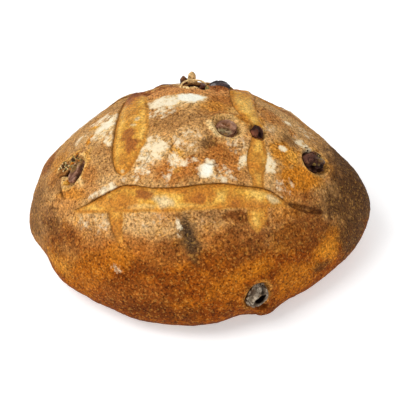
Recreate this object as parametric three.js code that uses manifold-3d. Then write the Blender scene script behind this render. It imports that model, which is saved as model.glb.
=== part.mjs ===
// Olive sourdough loaf: a round boule scored with a hash of four slashes, with pitted black olives baked
// into its crust. The crumb and crust are one solid; each olive that shows is a solid of its own, seated in
// a pocket of the crust. Millimetres, +Z up, origin in the middle of the flat base, +X along the loaf,
// the side that is scored deepest towards -Y.
import * as THREE from 'three';
import { mergeVertices } from 'three/addons/utils/BufferGeometryUtils.js';
import Module from 'manifold-3d';

// ---------------------------------------------------------------- driving dimensions, mm
const HALF_LENGTH = 118;
const HALF_WIDTH = 106;
const WAIST_HEIGHT = 21;          // height of the widest line round the loaf
const CROWN_RISE = 87;            // from the waist up to the crown
const FOOT_DROP = 32;             // depth of the lower form below the waist, before the base cuts it flat
const FOOT_ROUND = 6;             // rounding where the side turns under into the flat base
const PLAN_TAPER = 0.024;         // how far the plan draws in between the ends and the sides
const CROWN_TAPER = 0.055;        // how far the shoulders draw in between the waist and the crown
const FOOT_TAPER = -0.04;         // how far the foot fills out under the waist
const OLIVE_GAP = 0.35;           // clearance between an olive and its pocket

// Broad swellings and flats left by shaping and oven spring: azimuth and elevation of the middle as seen
// from the middle of the waist, and the spread, in degrees, and the height in mm.
const SWELLINGS = [
  { name: 'front left foot', azimuth: -110, elevation: -6, spread: 16, height: 2.6 },
  { name: 'front right flat', azimuth: -52, elevation: -2, spread: 26, height: -4 },
  { name: 'right nose', azimuth: 0, elevation: 6, spread: 16, height: 6 },
  { name: 'left nose', azimuth: 180, elevation: 2, spread: 14, height: 2.2 },
  { name: 'left flat', azimuth: 172, elevation: 14, spread: 22, height: -2 },
  { name: 'back left shoulder', azimuth: 120, elevation: 38, spread: 22, height: 1.2 },
  { name: 'crest', azimuth: 90, elevation: 50, spread: 22, height: 1.4 },
  { name: 'left flank', azimuth: -150, elevation: 0, spread: 18, height: 1.4 },
  { name: 'right shoulder', azimuth: 28, elevation: 20, spread: 20, height: -2 },
  // knuckles and dimples round the outline
  { name: 'left knuckle', azimuth: -171, elevation: -1, spread: 8, height: 2.6 },
  { name: 'back left knuckle', azimuth: 168, elevation: 12, spread: 6, height: 2.6 },
  { name: 'left dimple', azimuth: -157, elevation: -2, spread: 7, height: -2.6 },
  { name: 'front left knuckle', azimuth: -142, elevation: -2, spread: 7, height: 1.8 },
  { name: 'front left dimple', azimuth: -122, elevation: -5, spread: 7, height: -1.4 },
  { name: 'front dimple', azimuth: -74, elevation: -5, spread: 6, height: -1.8 },
  { name: 'front knuckle', azimuth: -64, elevation: -5, spread: 6, height: 2.2 },
  { name: 'right knuckle', azimuth: -5, elevation: 3, spread: 7, height: 1.8 },
  { name: 'right dimple', azimuth: 15, elevation: 15, spread: 7, height: -2.4 },
  { name: 'back right knuckle', azimuth: 35, elevation: 33, spread: 8, height: 1.6 },
  { name: 'back left crag', azimuth: 131, elevation: 37, spread: 7, height: 1.6 },
];

// Low waves all over the crust.
const WAVE_COUNT = 9;
const WAVE_LONG = 95;
const WAVE_SHORT = 34;
const WAVE_HEIGHT = 0.25;

// Places on the crust are a pair of mm: x, and the girth g, measured round the long axis from the crown
// line, positive towards the front.
const GIRTH_RADIUS = 87;

// A slash opens between two edges, each a run of [along, across] knots. 'along' is x on the two slashes
// that run along the loaf and g on the two that run across it. The lip edge is crust that lifted clear;
// on the flush edge the golden belly of the slash meets the crust level.
const SLASHES = [
  {
    name: 'front', along: 'x', lipHeight: 1.9, drop: 1.5, belly: 1.6,
    lip: [[-81, 77], [-71, 71.3], [-61.5, 64.8], [-45.5, 57.4], [-26, 60.2], [-10, 60], [11, 57.4],
      [28, 58.2], [41, 59.7], [49.5, 63.2], [60, 72]],
    flush: [[-81, 77], [-76, 78], [-54.6, 77.1], [-35.4, 76.2], [-10.4, 75.4], [14.3, 74.1], [39.4, 73.6],
      [60, 72]],
  },
  {
    name: 'left leaf', along: 'g', lipHeight: 1.1, drop: 1.6, belly: 2.2,
    lip: [[-47, -44], [-30, -51.9], [7, -55], [33, -54.9], [46.3, -52.2], [52, -46.5]],
    flush: [[-47, -44], [-30, -35], [-17.8, -33.3], [7.4, -31.6], [24.3, -32.6], [34.3, -36.2],
      [44.6, -40.5], [52, -46.5]],
  },
  {
    name: 'left foot', along: 'g', lipHeight: 0.4, drop: 0.5, belly: 0.9,
    lip: [[74, -56.5], [77.7, -55.8], [88.8, -53.7], [94.7, -50], [98, -47.2]],
    flush: [[74, -46], [77.6, -46.3], [88, -46.6], [94.7, -46.8], [98, -47.2]],
  },
  {
    name: 'right leaf', along: 'g', lipHeight: 0.5, drop: 0.8, belly: 1.8,
    lip: [[-47, 30], [-36, 22.6], [-27, 22.4], [-5, 24.7], [4, 29.5], [14, 36.5], [24.7, 34.8],
      [38.9, 31.9], [47.7, 32.4], [55, 34.6], [66, 32]],
    flush: [[-47, 37], [-41.7, 39.5], [-13, 40.2], [7.6, 42.4], [23.4, 42.9], [36.4, 44.9], [46, 43.4],
      [57.4, 41.6], [66, 43]],
  },
  {
    name: 'right foot', along: 'g', lipHeight: 0.3, drop: 0.4, belly: 1.0,
    lip: [[70, 31.5], [74.4, 31.2], [82, 32], [90, 38]],
    flush: [[70, 44.5], [74.2, 44.6], [82, 44.2], [90, 38]],
  },
  {
    name: 'back', along: 'x', lipHeight: 1.6, drop: 1.6, belly: 1.4,
    lip: [[-66, -63], [-56, -60], [-44, -55], [-33, -51], [-22, -48.5], [-5, -47.5], [9, -47], [26, -48],
      [44, -53], [58, -60]],
    flush: [[-66, -63], [-56, -55], [-44, -45], [-33, -36], [-22, -29], [-5, -26.5], [9, -29], [26, -36.5],
      [44, -46], [58, -60]],
  },
];
const LIP_REACH = 6;              // how far back from a lip the crust starts to lift
const EDGE_WIDTH = 0.7;           // half the width of the step at a lip
const FAINT = 0.3;                // a slash this little open has no edge
const FULL_BELLY = 13;            // a slash this wide or wider has its full belly

// Olives, each half out of the crust: place, half sizes along, across and out of the crust, the turn of
// the long way from +X towards the front in degrees, how far the middle is sunk, and the height of the
// rim of crust that tore up round it.
const OLIVES = [
  { name: 'olive_left', x: -80.2, g: 37.9, half: [10, 5.6, 5.8], turn: 121, sunk: 2.2, rim: 1.4 },
  { name: 'olive_upper', x: 20, g: 16.6, half: [7.5, 6.6, 4.8], turn: 25, sunk: 1.4, rim: 1.5 },
  { name: 'olive_slash', x: 39.2, g: 16.4, half: [7, 5, 4.6], turn: 75, sunk: 1.6, rim: 0.7 },
  { name: 'olive_right', x: 77.4, g: 28.6, half: [10.2, 8.4, 6.5], turn: -10, sunk: 1.6, rim: 1.2 },
  { name: 'olive_front', x: 38.4, g: 127, half: [8.8, 7, 6], turn: -45, sunk: 1.4, rim: 1.2 },
  { name: 'olive_crest', x: 16.8, g: -42.5, half: [8.8, 6, 5.6], turn: 5, sunk: 1.6, rim: 0.6 },
  { name: 'olive_crest_chip', x: 4.4, g: -35.5, half: [5.4, 2.4, 3.8], turn: 85, sunk: 0.8, rim: 0.2 },
  { name: 'olive_crest_sliver', x: -9.2, g: -51, half: [3.6, 2.4, 4.4], turn: 60, sunk: -0.6, rim: 0.2 },
  { name: 'olive_back_left', x: -46, g: -104, half: [9, 7, 6], turn: -40, sunk: 2, rim: 1.3 },
  { name: 'olive_back_right', x: 64, g: -101, half: [8.6, 6.6, 6], turn: 30, sunk: 2, rim: 1.2 },
];
const OLIVE_RINGS = 3;            // subdivision of an olive's surface
const CHIP_LENGTH = 6;            // an olive shorter than twice this is a chip with fewer faces
const WRINKLE_COUNT = 7;
const WRINKLE_DEPTH = 0.055;
const PIT_DENT = 0.22;            // dent at the end where the stone was pushed out
const RIM_OFFSET = 2.6;           // from the olive's edge out to the top of the rim
const RIM_WIDTH = 2.6;
const BOWL_DEPTH = 1.4;           // how far the crust falls inside the rim
const FAR_BELOW = 25;             // deeper than this under an olive's seat is the far side of the loaf

// Holes torn through the crust: place, half sizes along and across, turn and depth.
const HOLES = [
  { name: 'slot at the end of the front slash', x: 70.3, g: 74.6, half: [11.8, 2], turn: 18, depth: 3.6 },
  { name: 'cavity under the crest', x: -1.8, g: -44, half: [7.6, 6], turn: 0, depth: 5 },
  { name: 'pore under the front olive', x: 41.5, g: 136.5, half: [4.4, 2.4], turn: 15, depth: 3 },
  { name: 'torn crust beside the left olive', x: -88, g: 27, half: [5, 9.5], turn: 15, depth: 2.6 },
  { name: 'split below the left olive', x: -89.2, g: 56, half: [6.5, 1.1], turn: 78, depth: 1.4 },
];
const HOLE_FLOOR = 0.5;           // a hole's wall runs between these two ovals
const HOLE_MOUTH = 1.15;

// Blisters and ridges of crust.
const MOUNDS = [
  { name: 'ridge above the left leaf', x: -42, g: -39, half: [12, 7], turn: -15, height: 2.2 },
  { name: 'dip beside the ridge', x: -34, g: -46, half: [5, 10], turn: 0, height: -2.6 },
  { name: 'flat behind the ridge', x: -38, g: -62, half: [10, 13], turn: 0, height: -2.4 },
  { name: 'blister before the crest olive', x: 16.5, g: -31.5, half: [9, 4.5], turn: 0, height: 3 },
  { name: 'burnt arc', x: -22, g: -44, half: [10, 8], turn: 0, height: 0.8 },
  { name: 'dip beside the nub', x: -14, g: -54, half: [6, 16], turn: 0, height: -3.4 },
  { name: 'dip before the cavity', x: -3, g: -35, half: [12, 6], turn: 0, height: -2.6 },
  { name: 'dip beside the crest olive', x: 29, g: -54, half: [6, 16], turn: 0, height: -3.6 },
  { name: 'flat above the right leaf', x: 51, g: -60, half: [15, 17], turn: 0, height: -5 },
  { name: 'blister under the front olive', x: 45, g: 145, half: [11, 7], turn: 20, height: 2 },
  { name: 'knuckle beside the left olive', x: -101, g: 20, half: [9, 12], turn: 0, height: 1.2 },
  { name: 'ring bubble', x: 33, g: 62.5, half: [3.2, 2.6], turn: 0, height: 0.8 },
];

const MOUND_STEEPNESS = 1.5;      // how fast a mound falls away past its half sizes

// Torn crumb standing up at the crest: place, height of the middle, half sizes and turn.
const KNOBS = [
  { name: 'nub', x: -3.4, g: -53, lift: 3.6, half: [2.9, 2.6, 4.2], turn: 10 },
  { name: 'nub foot', x: -5, g: -52.5, lift: 0.6, half: [5.6, 3, 2.8], turn: 10 },
];
// A thin strand of crumb bridges the cavity.
const STRAND = { x: -2.2, g: -41, span: 8.6, rise: 4.6, thickness: 0.9, sections: 6, sides: 6 };

// Facet sizes: the longest edge allowed on plain crust, under the loaf, on low relief, in a slash and along
// torn edges.
const FACET_CRUST = 16;
const FACET_BASE = 26;
const FACET_RELIEF = 8;
const FACET_SLASH = 7.5;
const FACET_TORN = 5.2;
const TORN_BAND = 2.5;            // width of the band along an edge that takes the smallest facets
const HOLE_MARGIN = 1.5;          // ovals round holes and mounds that take small facets
const MOUND_MARGIN = 1.2;
const EDGE_SAMPLES = [0.08, 0.29, 0.5, 0.71, 0.92];
const MOST_ROUNDS = 6;            // halvings of the first facets
const NEAR_END = 0.22;            // a crossing this near an edge's end moves the end instead of splitting

const FINE_HALVINGS = 40;         // steps of the searches for a place on the form and for a line's crossing
const LINE_HALVINGS = 16;

const DEGREE = Math.PI / 180;
const GOLDEN_TURN = Math.PI * (3 - Math.sqrt(5));

// ---------------------------------------------------------------- small helpers
const clamp01 = (value) => Math.min(1, Math.max(0, value));

function smoothstep(low, high, value) {
  const t = clamp01((value - low) / (high - low));
  return t * t * (3 - 2 * t);
}

// Value at s of the smooth curve through the knots, held level past its ends.
function curveAt(knots, s) {
  const last = knots.length - 1;
  if (s <= knots[0][0]) return knots[0][1];
  if (s >= knots[last][0]) return knots[last][1];
  let i = 0;
  while (s > knots[i + 1][0]) i += 1;
  const slope = (a, b) => (knots[b][1] - knots[a][1]) / (knots[b][0] - knots[a][0]);
  const step = knots[i + 1][0] - knots[i][0];
  const t = (s - knots[i][0]) / step;
  const startSlope = slope(Math.max(i - 1, 0), i + 1) * step;
  const endSlope = slope(i, Math.min(i + 2, last)) * step;
  const t2 = t * t;
  const t3 = t2 * t;
  return (2 * t3 - 3 * t2 + 1) * knots[i][1] + (t3 - 2 * t2 + t) * startSlope
    + (3 * t2 - 2 * t3) * knots[i + 1][1] + (t3 - t2) * endSlope;
}

// Distance from the middle of an oval patch, 1 on its outline.
function ovalDistance(patch, x, g) {
  const c = Math.cos(patch.turn * DEGREE);
  const s = Math.sin(patch.turn * DEGREE);
  const dx = x - patch.x;
  const dg = g - patch.g;
  return Math.hypot((dx * c + dg * s) / patch.half[0], (dg * c - dx * s) / patch.half[1]);
}

// ---------------------------------------------------------------- base form
function lobeHeight(direction, swelling) {
  const azimuth = swelling.azimuth * DEGREE;
  const elevation = swelling.elevation * DEGREE;
  const middle = new THREE.Vector3(
    Math.cos(elevation) * Math.cos(azimuth),
    Math.cos(elevation) * Math.sin(azimuth),
    Math.sin(elevation),
  );
  const sharpness = 2 / (swelling.spread * DEGREE) ** 2;
  return swelling.height * Math.exp(sharpness * (direction.dot(middle) - 1));
}

// Point of the dough's smooth form in a direction from the middle of the waist, before the base cuts it.
function formPoint(direction) {
  const upper = direction.z > 0;
  const scaled = new THREE.Vector3(
    direction.x / HALF_LENGTH,
    direction.y / HALF_WIDTH,
    direction.z / (upper ? CROWN_RISE : FOOT_DROP),
  );
  const length = scaled.length();
  const x2 = (scaled.x / length) ** 2;
  const y2 = (scaled.y / length) ** 2;
  const z2 = (scaled.z / length) ** 2;
  const taper = 4 * PLAN_TAPER * x2 * y2 + 4 * (upper ? CROWN_TAPER : FOOT_TAPER) * z2 * (x2 + y2);
  let radius = (1 - taper) / length;
  for (const swelling of SWELLINGS) radius += lobeHeight(direction, swelling);
  const point = direction.clone().multiplyScalar(radius);
  point.z += WAIST_HEIGHT;
  return point;
}

function formNormal(direction) {
  const step = 0.01;
  const side = new THREE.Vector3(-direction.y, direction.x, 0);
  if (side.length() < 0.1) side.set(0, -direction.z, direction.y);
  side.normalize();
  const rise = new THREE.Vector3().crossVectors(direction, side);
  const at = (axis, amount) => formPoint(direction.clone().addScaledVector(axis, amount).normalize());
  const alongSide = at(side, step).sub(at(side, -step));
  const alongRise = at(rise, step).sub(at(rise, -step));
  return alongSide.cross(alongRise).normalize();
}

const crustPlace = (point) => [point.x, GIRTH_RADIUS * Math.atan2(-point.y, point.z - WAIST_HEIGHT)];

// Direction of the form point with the given place on the crust.
function directionAt(x, g) {
  const turn = g / GIRTH_RADIUS;
  const direction = (tilt) => new THREE.Vector3(
    Math.sin(tilt),
    -Math.cos(tilt) * Math.sin(turn),
    Math.cos(tilt) * Math.cos(turn),
  );
  let low = -Math.PI / 2;
  let high = Math.PI / 2;
  for (let i = 0; i < FINE_HALVINGS; i += 1) {
    const middle = (low + high) / 2;
    if (formPoint(direction(middle)).x < x) low = middle;
    else high = middle;
  }
  return direction((low + high) / 2);
}

// Frame that seats a piece on the crust: X along its turn, Z out of the crust.
function seatAt(x, g, turn, lift) {
  const direction = directionAt(x, g);
  const out = formNormal(direction);
  const along = new THREE.Vector3(1, 0, 0).addScaledVector(out, -out.x).normalize();
  const across = new THREE.Vector3().crossVectors(out, along);
  const angle = -turn * DEGREE;
  const xAxis = along.clone().multiplyScalar(Math.cos(angle)).addScaledVector(across, Math.sin(angle));
  const yAxis = new THREE.Vector3().crossVectors(out, xAxis);
  const origin = formPoint(direction).addScaledVector(out, lift);
  return new THREE.Matrix4().makeBasis(xAxis, yAxis, out).setPosition(origin);
}

for (const olive of OLIVES) olive.toSeat = seatAt(olive.x, olive.g, olive.turn, 0).invert();

// Below the waist's turn the height eases into the flat base.
function flattenFoot(point) {
  if (point.z < -FOOT_ROUND) point.z = 0;
  else if (point.z < FOOT_ROUND) point.z = (point.z + FOOT_ROUND) ** 2 / (4 * FOOT_ROUND);
  return point;
}

// ---------------------------------------------------------------- relief of the crust
function waveHeight(point) {
  let height = 0;
  for (let i = 0; i < WAVE_COUNT; i += 1) {
    const rise = 1 - (2 * (i + 0.5)) / WAVE_COUNT;
    const reach = Math.sqrt(1 - rise * rise);
    const across = point.x * reach * Math.cos(i * GOLDEN_TURN) + point.y * reach * Math.sin(i * GOLDEN_TURN)
      + point.z * rise;
    const length = WAVE_LONG + ((WAVE_SHORT - WAVE_LONG) * i) / (WAVE_COUNT - 1);
    height += WAVE_HEIGHT * Math.sin((2 * Math.PI * across) / length + i * 1.7);
  }
  return height;
}

// How far a place lies inside each edge of a slash, and how much of the slash is there along its run.
function slashPlace(slash, x, g) {
  const along = slash.along === 'x' ? x : g;
  const across = slash.along === 'x' ? g : x;
  const lip = curveAt(slash.lip, along);
  const flush = curveAt(slash.flush, along);
  const start = slash.lip[0][0];
  const end = slash.lip[slash.lip.length - 1][0];
  const halfway = (start + end) / 2;
  const side = curveAt(slash.flush, halfway) > curveAt(slash.lip, halfway) ? 1 : -1;
  return {
    fromLip: (across - lip) * side,
    fromFlush: (flush - across) * side,
    width: Math.abs(flush - lip),
    presence: smoothstep(start - LIP_REACH, start + LIP_REACH, along)
      * (1 - smoothstep(end - LIP_REACH, end + LIP_REACH, along)),
  };
}

function slashHeight(slash, x, g) {
  const { fromLip, fromFlush, width, presence } = slashPlace(slash, x, g);
  if (presence === 0 || fromLip < -4 * LIP_REACH || fromFlush < -LIP_REACH) return 0;
  const opening = clamp01(width / FULL_BELLY) * presence;
  const lifted = slash.lipHeight * Math.exp(Math.min(fromLip, 0) / LIP_REACH) * Math.sqrt(opening);
  const across = clamp01(fromLip / Math.max(width, 0.1));
  const belly = slash.belly * (4 * across * (1 - across)) ** 0.8;
  const inside = (belly - slash.drop * Math.exp(-Math.max(fromLip, 0) / 4)) * opening;
  const overLip = smoothstep(-EDGE_WIDTH, EDGE_WIDTH, fromLip);
  const overFlush = smoothstep(-EDGE_WIDTH, EDGE_WIDTH, fromFlush);
  return lifted * (1 - overLip) * overFlush + inside * overLip * overFlush;
}

// How far a point of the form lies beyond an olive's edge, in the plane of its seat.
function beyondOlive(olive, point) {
  const local = point.clone().applyMatrix4(olive.toSeat);
  if (local.z < -FAR_BELOW) return Infinity;
  const [long, wide] = olive.half;
  const part = Math.hypot(local.x / long, local.y / wide);
  return (part - 1) * (part < 1 ? Math.min(long, wide) : Math.hypot(local.x, local.y) / part);
}

function rimHeight(olive, point) {
  const beyond = beyondOlive(olive, point);
  if (beyond > RIM_OFFSET + 4 * RIM_WIDTH) return 0;
  const rim = olive.rim * Math.exp(-(((beyond - RIM_OFFSET) / RIM_WIDTH) ** 2));
  const bowl = BOWL_DEPTH * Math.min(1, olive.rim) * (1 - smoothstep(-1, RIM_OFFSET, beyond));
  return rim - bowl;
}

const holeDepth = (hole, x, g) => hole.depth
  * (1 - smoothstep(HOLE_FLOOR, HOLE_MOUTH, ovalDistance(hole, x, g)));

const moundHeight = (mound, x, g) => mound.height
  * Math.exp(-MOUND_STEEPNESS * ovalDistance(mound, x, g) ** 2);

// Height of the crust over the smooth form.
function reliefAt(point) {
  const [x, g] = crustPlace(point);
  let height = waveHeight(point);
  for (const slash of SLASHES) height += slashHeight(slash, x, g);
  for (const olive of OLIVES) height += rimHeight(olive, point);
  for (const mound of MOUNDS) height += moundHeight(mound, x, g);
  for (const hole of HOLES) height -= holeDepth(hole, x, g);
  return height;
}

function crustPoint(direction) {
  const point = formPoint(direction);
  return flattenFoot(point.addScaledVector(formNormal(direction), reliefAt(point)));
}

// ---------------------------------------------------------------- facets of the crust
// Longest edge allowed at a place on the crust.
function facetSize(point) {
  if (point.z < 1) return FACET_BASE;
  const [x, g] = crustPlace(point);
  let size = FACET_CRUST;
  for (const slash of SLASHES) {
    const { fromLip, fromFlush, presence } = slashPlace(slash, x, g);
    if (presence < FAINT || fromLip < -TORN_BAND || fromFlush < -TORN_BAND) continue;
    size = Math.min(size, Math.abs(fromLip) < TORN_BAND ? FACET_TORN : FACET_SLASH);
  }
  for (const olive of OLIVES) {
    if (beyondOlive(olive, point) < RIM_OFFSET + RIM_WIDTH) size = Math.min(size, FACET_TORN);
  }
  for (const hole of HOLES) {
    if (ovalDistance(hole, x, g) < HOLE_MARGIN) size = Math.min(size, FACET_TORN);
  }
  for (const mound of MOUNDS) {
    if (ovalDistance(mound, x, g) < MOUND_MARGIN) size = Math.min(size, FACET_RELIEF);
  }
  return size;
}

// The crust as a sphere of directions, each with its point, joined into triangles.
class Crust {
  constructor() {
    this.directions = [];
    this.points = [];
    this.onLine = new Set();
    const seed = new THREE.IcosahedronGeometry(1, 2);
    seed.deleteAttribute('normal');
    seed.deleteAttribute('uv');
    const sphere = mergeVertices(seed);
    const position = sphere.getAttribute('position');
    for (let i = 0; i < position.count; i += 1) {
      this.add(new THREE.Vector3().fromBufferAttribute(position, i).normalize());
    }
    const index = Array.from(sphere.getIndex().array);
    this.faces = [];
    for (let i = 0; i < index.length; i += 3) this.faces.push(index.slice(i, i + 3));
  }

  add(direction) {
    this.directions.push(direction);
    this.points.push(crustPoint(direction));
    return this.directions.length - 1;
  }

  // Direction part of the way from vertex a to vertex b.
  between(a, b, part) {
    return this.directions[a].clone().lerp(this.directions[b], part).normalize();
  }

  // Splits every edge for which splitEdge gives a new vertex. Returns whether there was one.
  split(splitEdge) {
    const known = new Map();
    const middle = (a, b) => {
      const key = a < b ? `${a}/${b}` : `${b}/${a}`;
      if (!known.has(key)) known.set(key, splitEdge(Math.min(a, b), Math.max(a, b)));
      return known.get(key);
    };
    const before = this.faces.length;
    this.faces = this.faces.flatMap(
      ([a, b, c]) => splitFace([a, b, c], [middle(a, b), middle(b, c), middle(c, a)], this.points),
    );
    return this.faces.length > before;
  }

  // Halves long edges until none is longer than the places that it passes allow.
  refine() {
    const halve = (a, b) => {
      const length = this.points[a].distanceTo(this.points[b]);
      const allowed = EDGE_SAMPLES.map((part) => facetSize(formPoint(this.between(a, b, part))));
      return length > Math.min(...allowed) ? this.add(this.between(a, b, 0.5)) : -1;
    };
    let rounds = 0;
    while (rounds < MOST_ROUNDS && this.split(halve)) rounds += 1;
  }

  // Lays a line of edges where valueAt, a function of a place on the crust, is zero. It is null where
  // there is no line. Vertices of lines already laid stay put.
  layLine(valueAt) {
    const valueOf = (direction) => valueAt(...crustPlace(formPoint(direction)));
    const values = this.directions.map(valueOf);
    const crosses = (a, b) => values[a] !== null && values[b] !== null && values[a] * values[b] < 0;
    const crossing = (a, b) => {
      let [low, high] = [0, 1];
      for (let i = 0; i < LINE_HALVINGS; i += 1) {
        const middle = (low + high) / 2;
        const value = valueOf(this.between(a, b, middle));
        if (value !== null && value * values[a] > 0) low = middle;
        else high = middle;
      }
      return (low + high) / 2;
    };
    const moveTo = (vertex, direction) => {
      this.directions[vertex] = direction;
      this.points[vertex] = crustPoint(direction);
      values[vertex] = 0;
      this.onLine.add(vertex);
    };
    for (const face of this.faces) {
      for (let i = 0; i < 3; i += 1) {
        const [a, b] = [face[i], face[(i + 1) % 3]];
        if (!crosses(a, b)) continue;
        const part = crossing(a, b);
        if (part < NEAR_END && !this.onLine.has(a)) moveTo(a, this.between(a, b, part));
        else if (part > 1 - NEAR_END && !this.onLine.has(b)) moveTo(b, this.between(a, b, part));
      }
    }
    this.split((a, b) => {
      if (!crosses(a, b)) return -1;
      const vertex = this.add(this.between(a, b, crossing(a, b)));
      this.onLine.add(vertex);
      return vertex;
    });
  }

  geometry() {
    const geometry = new THREE.BufferGeometry();
    geometry.setFromPoints(this.points);
    geometry.setIndex(this.faces.flat());
    return geometry;
  }
}

// The lines along which the crust is torn.
function tornLines() {
  const lines = [];
  for (const slash of SLASHES) {
    for (const offset of [-EDGE_WIDTH, EDGE_WIDTH]) {
      lines.push((x, g) => {
        const { fromLip, fromFlush, presence } = slashPlace(slash, x, g);
        return presence < FAINT || fromFlush < 0 || Math.abs(fromLip) > FACET_SLASH ? null : fromLip - offset;
      });
    }
    lines.push((x, g) => {
      const { fromLip, fromFlush, presence } = slashPlace(slash, x, g);
      return presence < FAINT || fromLip < 0 || Math.abs(fromFlush) > FACET_SLASH ? null : fromFlush;
    });
  }
  for (const hole of HOLES) {
    for (const oval of [HOLE_MOUTH, HOLE_FLOOR]) lines.push((x, g) => ovalDistance(hole, x, g) - oval);
  }
  return lines;
}

// Splits one face at the middles of its edges that have one.
function splitFace(corners, middles, points) {
  const count = middles.filter((middle) => middle >= 0).length;
  if (count === 0) return [corners];
  if (count === 3) {
    const [a, b, c] = corners;
    const [ab, bc, ca] = middles;
    return [[a, ab, ca], [ab, b, bc], [ca, bc, c], [ab, bc, ca]];
  }
  // turned so that the first edge has a middle and, where there are two, the last edge has none
  let turn = 0;
  while (!(middles[turn] >= 0 && (count === 1 || middles[(turn + 2) % 3] < 0))) turn += 1;
  const at = (list, i) => list[(i + turn) % 3];
  const [a, b, c] = [at(corners, 0), at(corners, 1), at(corners, 2)];
  const ab = at(middles, 0);
  if (count === 1) return [[a, ab, c], [ab, b, c]];
  const bc = at(middles, 1);
  if (points[a].distanceTo(points[bc]) < points[ab].distanceTo(points[c])) {
    return [[ab, b, bc], [a, ab, bc], [a, bc, c]];
  }
  return [[ab, b, bc], [a, ab, c], [ab, bc, c]];
}

// ---------------------------------------------------------------- solids
const wasm = await Module();
wasm.setup();

function solidFrom(geometry) {
  const bare = geometry.clone();
  bare.deleteAttribute('normal');
  bare.deleteAttribute('uv');
  const merged = mergeVertices(bare);
  return new wasm.Manifold(new wasm.Mesh({
    numProp: 3,
    vertProperties: new Float32Array(merged.getAttribute('position').array),
    triVerts: new Uint32Array(merged.getIndex().array),
  }));
}

function geometryFrom(solid) {
  const mesh = solid.getMesh();
  const geometry = new THREE.BufferGeometry();
  geometry.setAttribute('position', new THREE.BufferAttribute(new Float32Array(mesh.vertProperties), 3));
  geometry.setIndex(Array.from(mesh.triVerts));
  return geometry;
}

function crustGeometry() {
  const crust = new Crust();
  crust.refine();
  for (const line of tornLines()) crust.layLine(line);
  return crust.geometry();
}

// A pitted olive, wrinkled lengthwise and dented at one end, grown outwards by 'grow'.
function oliveGeometry(olive, grow) {
  const small = olive.half[0] < CHIP_LENGTH;
  const geometry = new THREE.IcosahedronGeometry(1, small ? OLIVE_RINGS - 1 : OLIVE_RINGS);
  geometry.deleteAttribute('normal');
  geometry.deleteAttribute('uv');
  const body = mergeVertices(geometry);
  const position = body.getAttribute('position');
  const direction = new THREE.Vector3();
  for (let i = 0; i < position.count; i += 1) {
    direction.fromBufferAttribute(position, i);
    const around = Math.atan2(direction.z, direction.y);
    const ends = 1 - direction.x ** 2;
    const wrinkle = WRINKLE_DEPTH * ends * Math.sin(WRINKLE_COUNT * around + 2.2 * direction.x + olive.x);
    const dent = PIT_DENT * Math.exp(-((1 - direction.x) ** 2 + (direction.z - 0.2) ** 2) * 7);
    const scale = 1 + wrinkle - dent;
    position.setXYZ(
      i,
      direction.x * (olive.half[0] * scale + grow),
      direction.y * (olive.half[1] * scale + grow),
      direction.z * (olive.half[2] * scale + grow),
    );
  }
  return body.applyMatrix4(seatAt(olive.x, olive.g, olive.turn, -olive.sunk));
}

function knobGeometry(knob) {
  const geometry = new THREE.IcosahedronGeometry(1, 1);
  geometry.scale(...knob.half);
  return geometry.applyMatrix4(seatAt(knob.x, knob.g, knob.turn, knob.lift));
}

function strandGeometry() {
  const { x, g, span, rise, thickness, sections, sides } = STRAND;
  const seat = seatAt(x, g, 0, 0);
  const onArch = (t) => new THREE.Vector3(
    -span * Math.cos(Math.PI * t),
    0,
    rise * Math.sin(Math.PI * t) - thickness,
  ).applyMatrix4(seat);
  const path = new THREE.CatmullRomCurve3([0, 0.25, 0.5, 0.75, 1].map(onArch));
  const section = new THREE.Shape();
  for (let i = 0; i < sides; i += 1) {
    const angle = (2 * Math.PI * i) / sides;
    const corner = [thickness * Math.cos(angle), thickness * Math.sin(angle)];
    if (i === 0) section.moveTo(...corner);
    else section.lineTo(...corner);
  }
  section.closePath();
  return new THREE.ExtrudeGeometry(section, { steps: sections, extrudePath: path, bevelEnabled: false });
}

// ---------------------------------------------------------------- loaf and olives
const crustMaterial = new THREE.MeshStandardMaterial({ color: 0x9a5f2c, roughness: 0.75, metalness: 0 });
const oliveMaterial = new THREE.MeshStandardMaterial({ color: 0x3a2226, roughness: 0.4, metalness: 0 });

function loafGeometry() {
  let loaf = solidFrom(crustGeometry());
  for (const knob of KNOBS) loaf = loaf.add(solidFrom(knobGeometry(knob)));
  loaf = loaf.add(solidFrom(strandGeometry()));
  for (const olive of OLIVES) loaf = loaf.subtract(solidFrom(oliveGeometry(olive, OLIVE_GAP)));
  return geometryFrom(loaf);
}

const group = new THREE.Group();

function addPiece(name, geometry, material) {
  const piece = new THREE.Mesh(geometry, material.clone());
  piece.name = name;
  group.add(piece);
}

addPiece('loaf', loafGeometry(), crustMaterial);
for (const olive of OLIVES) addPiece(olive.name, oliveGeometry(olive, 0), oliveMaterial);

export default group;
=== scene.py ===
"""Olive sourdough loaf: a scored round loaf with olives baked into its crust."""

import itertools
import logging
import math
from dataclasses import dataclass
from enum import Enum
from typing import ClassVar, Sequence

import bmesh
import bpy
import numpy as np
from mathutils import Matrix, Vector


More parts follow.
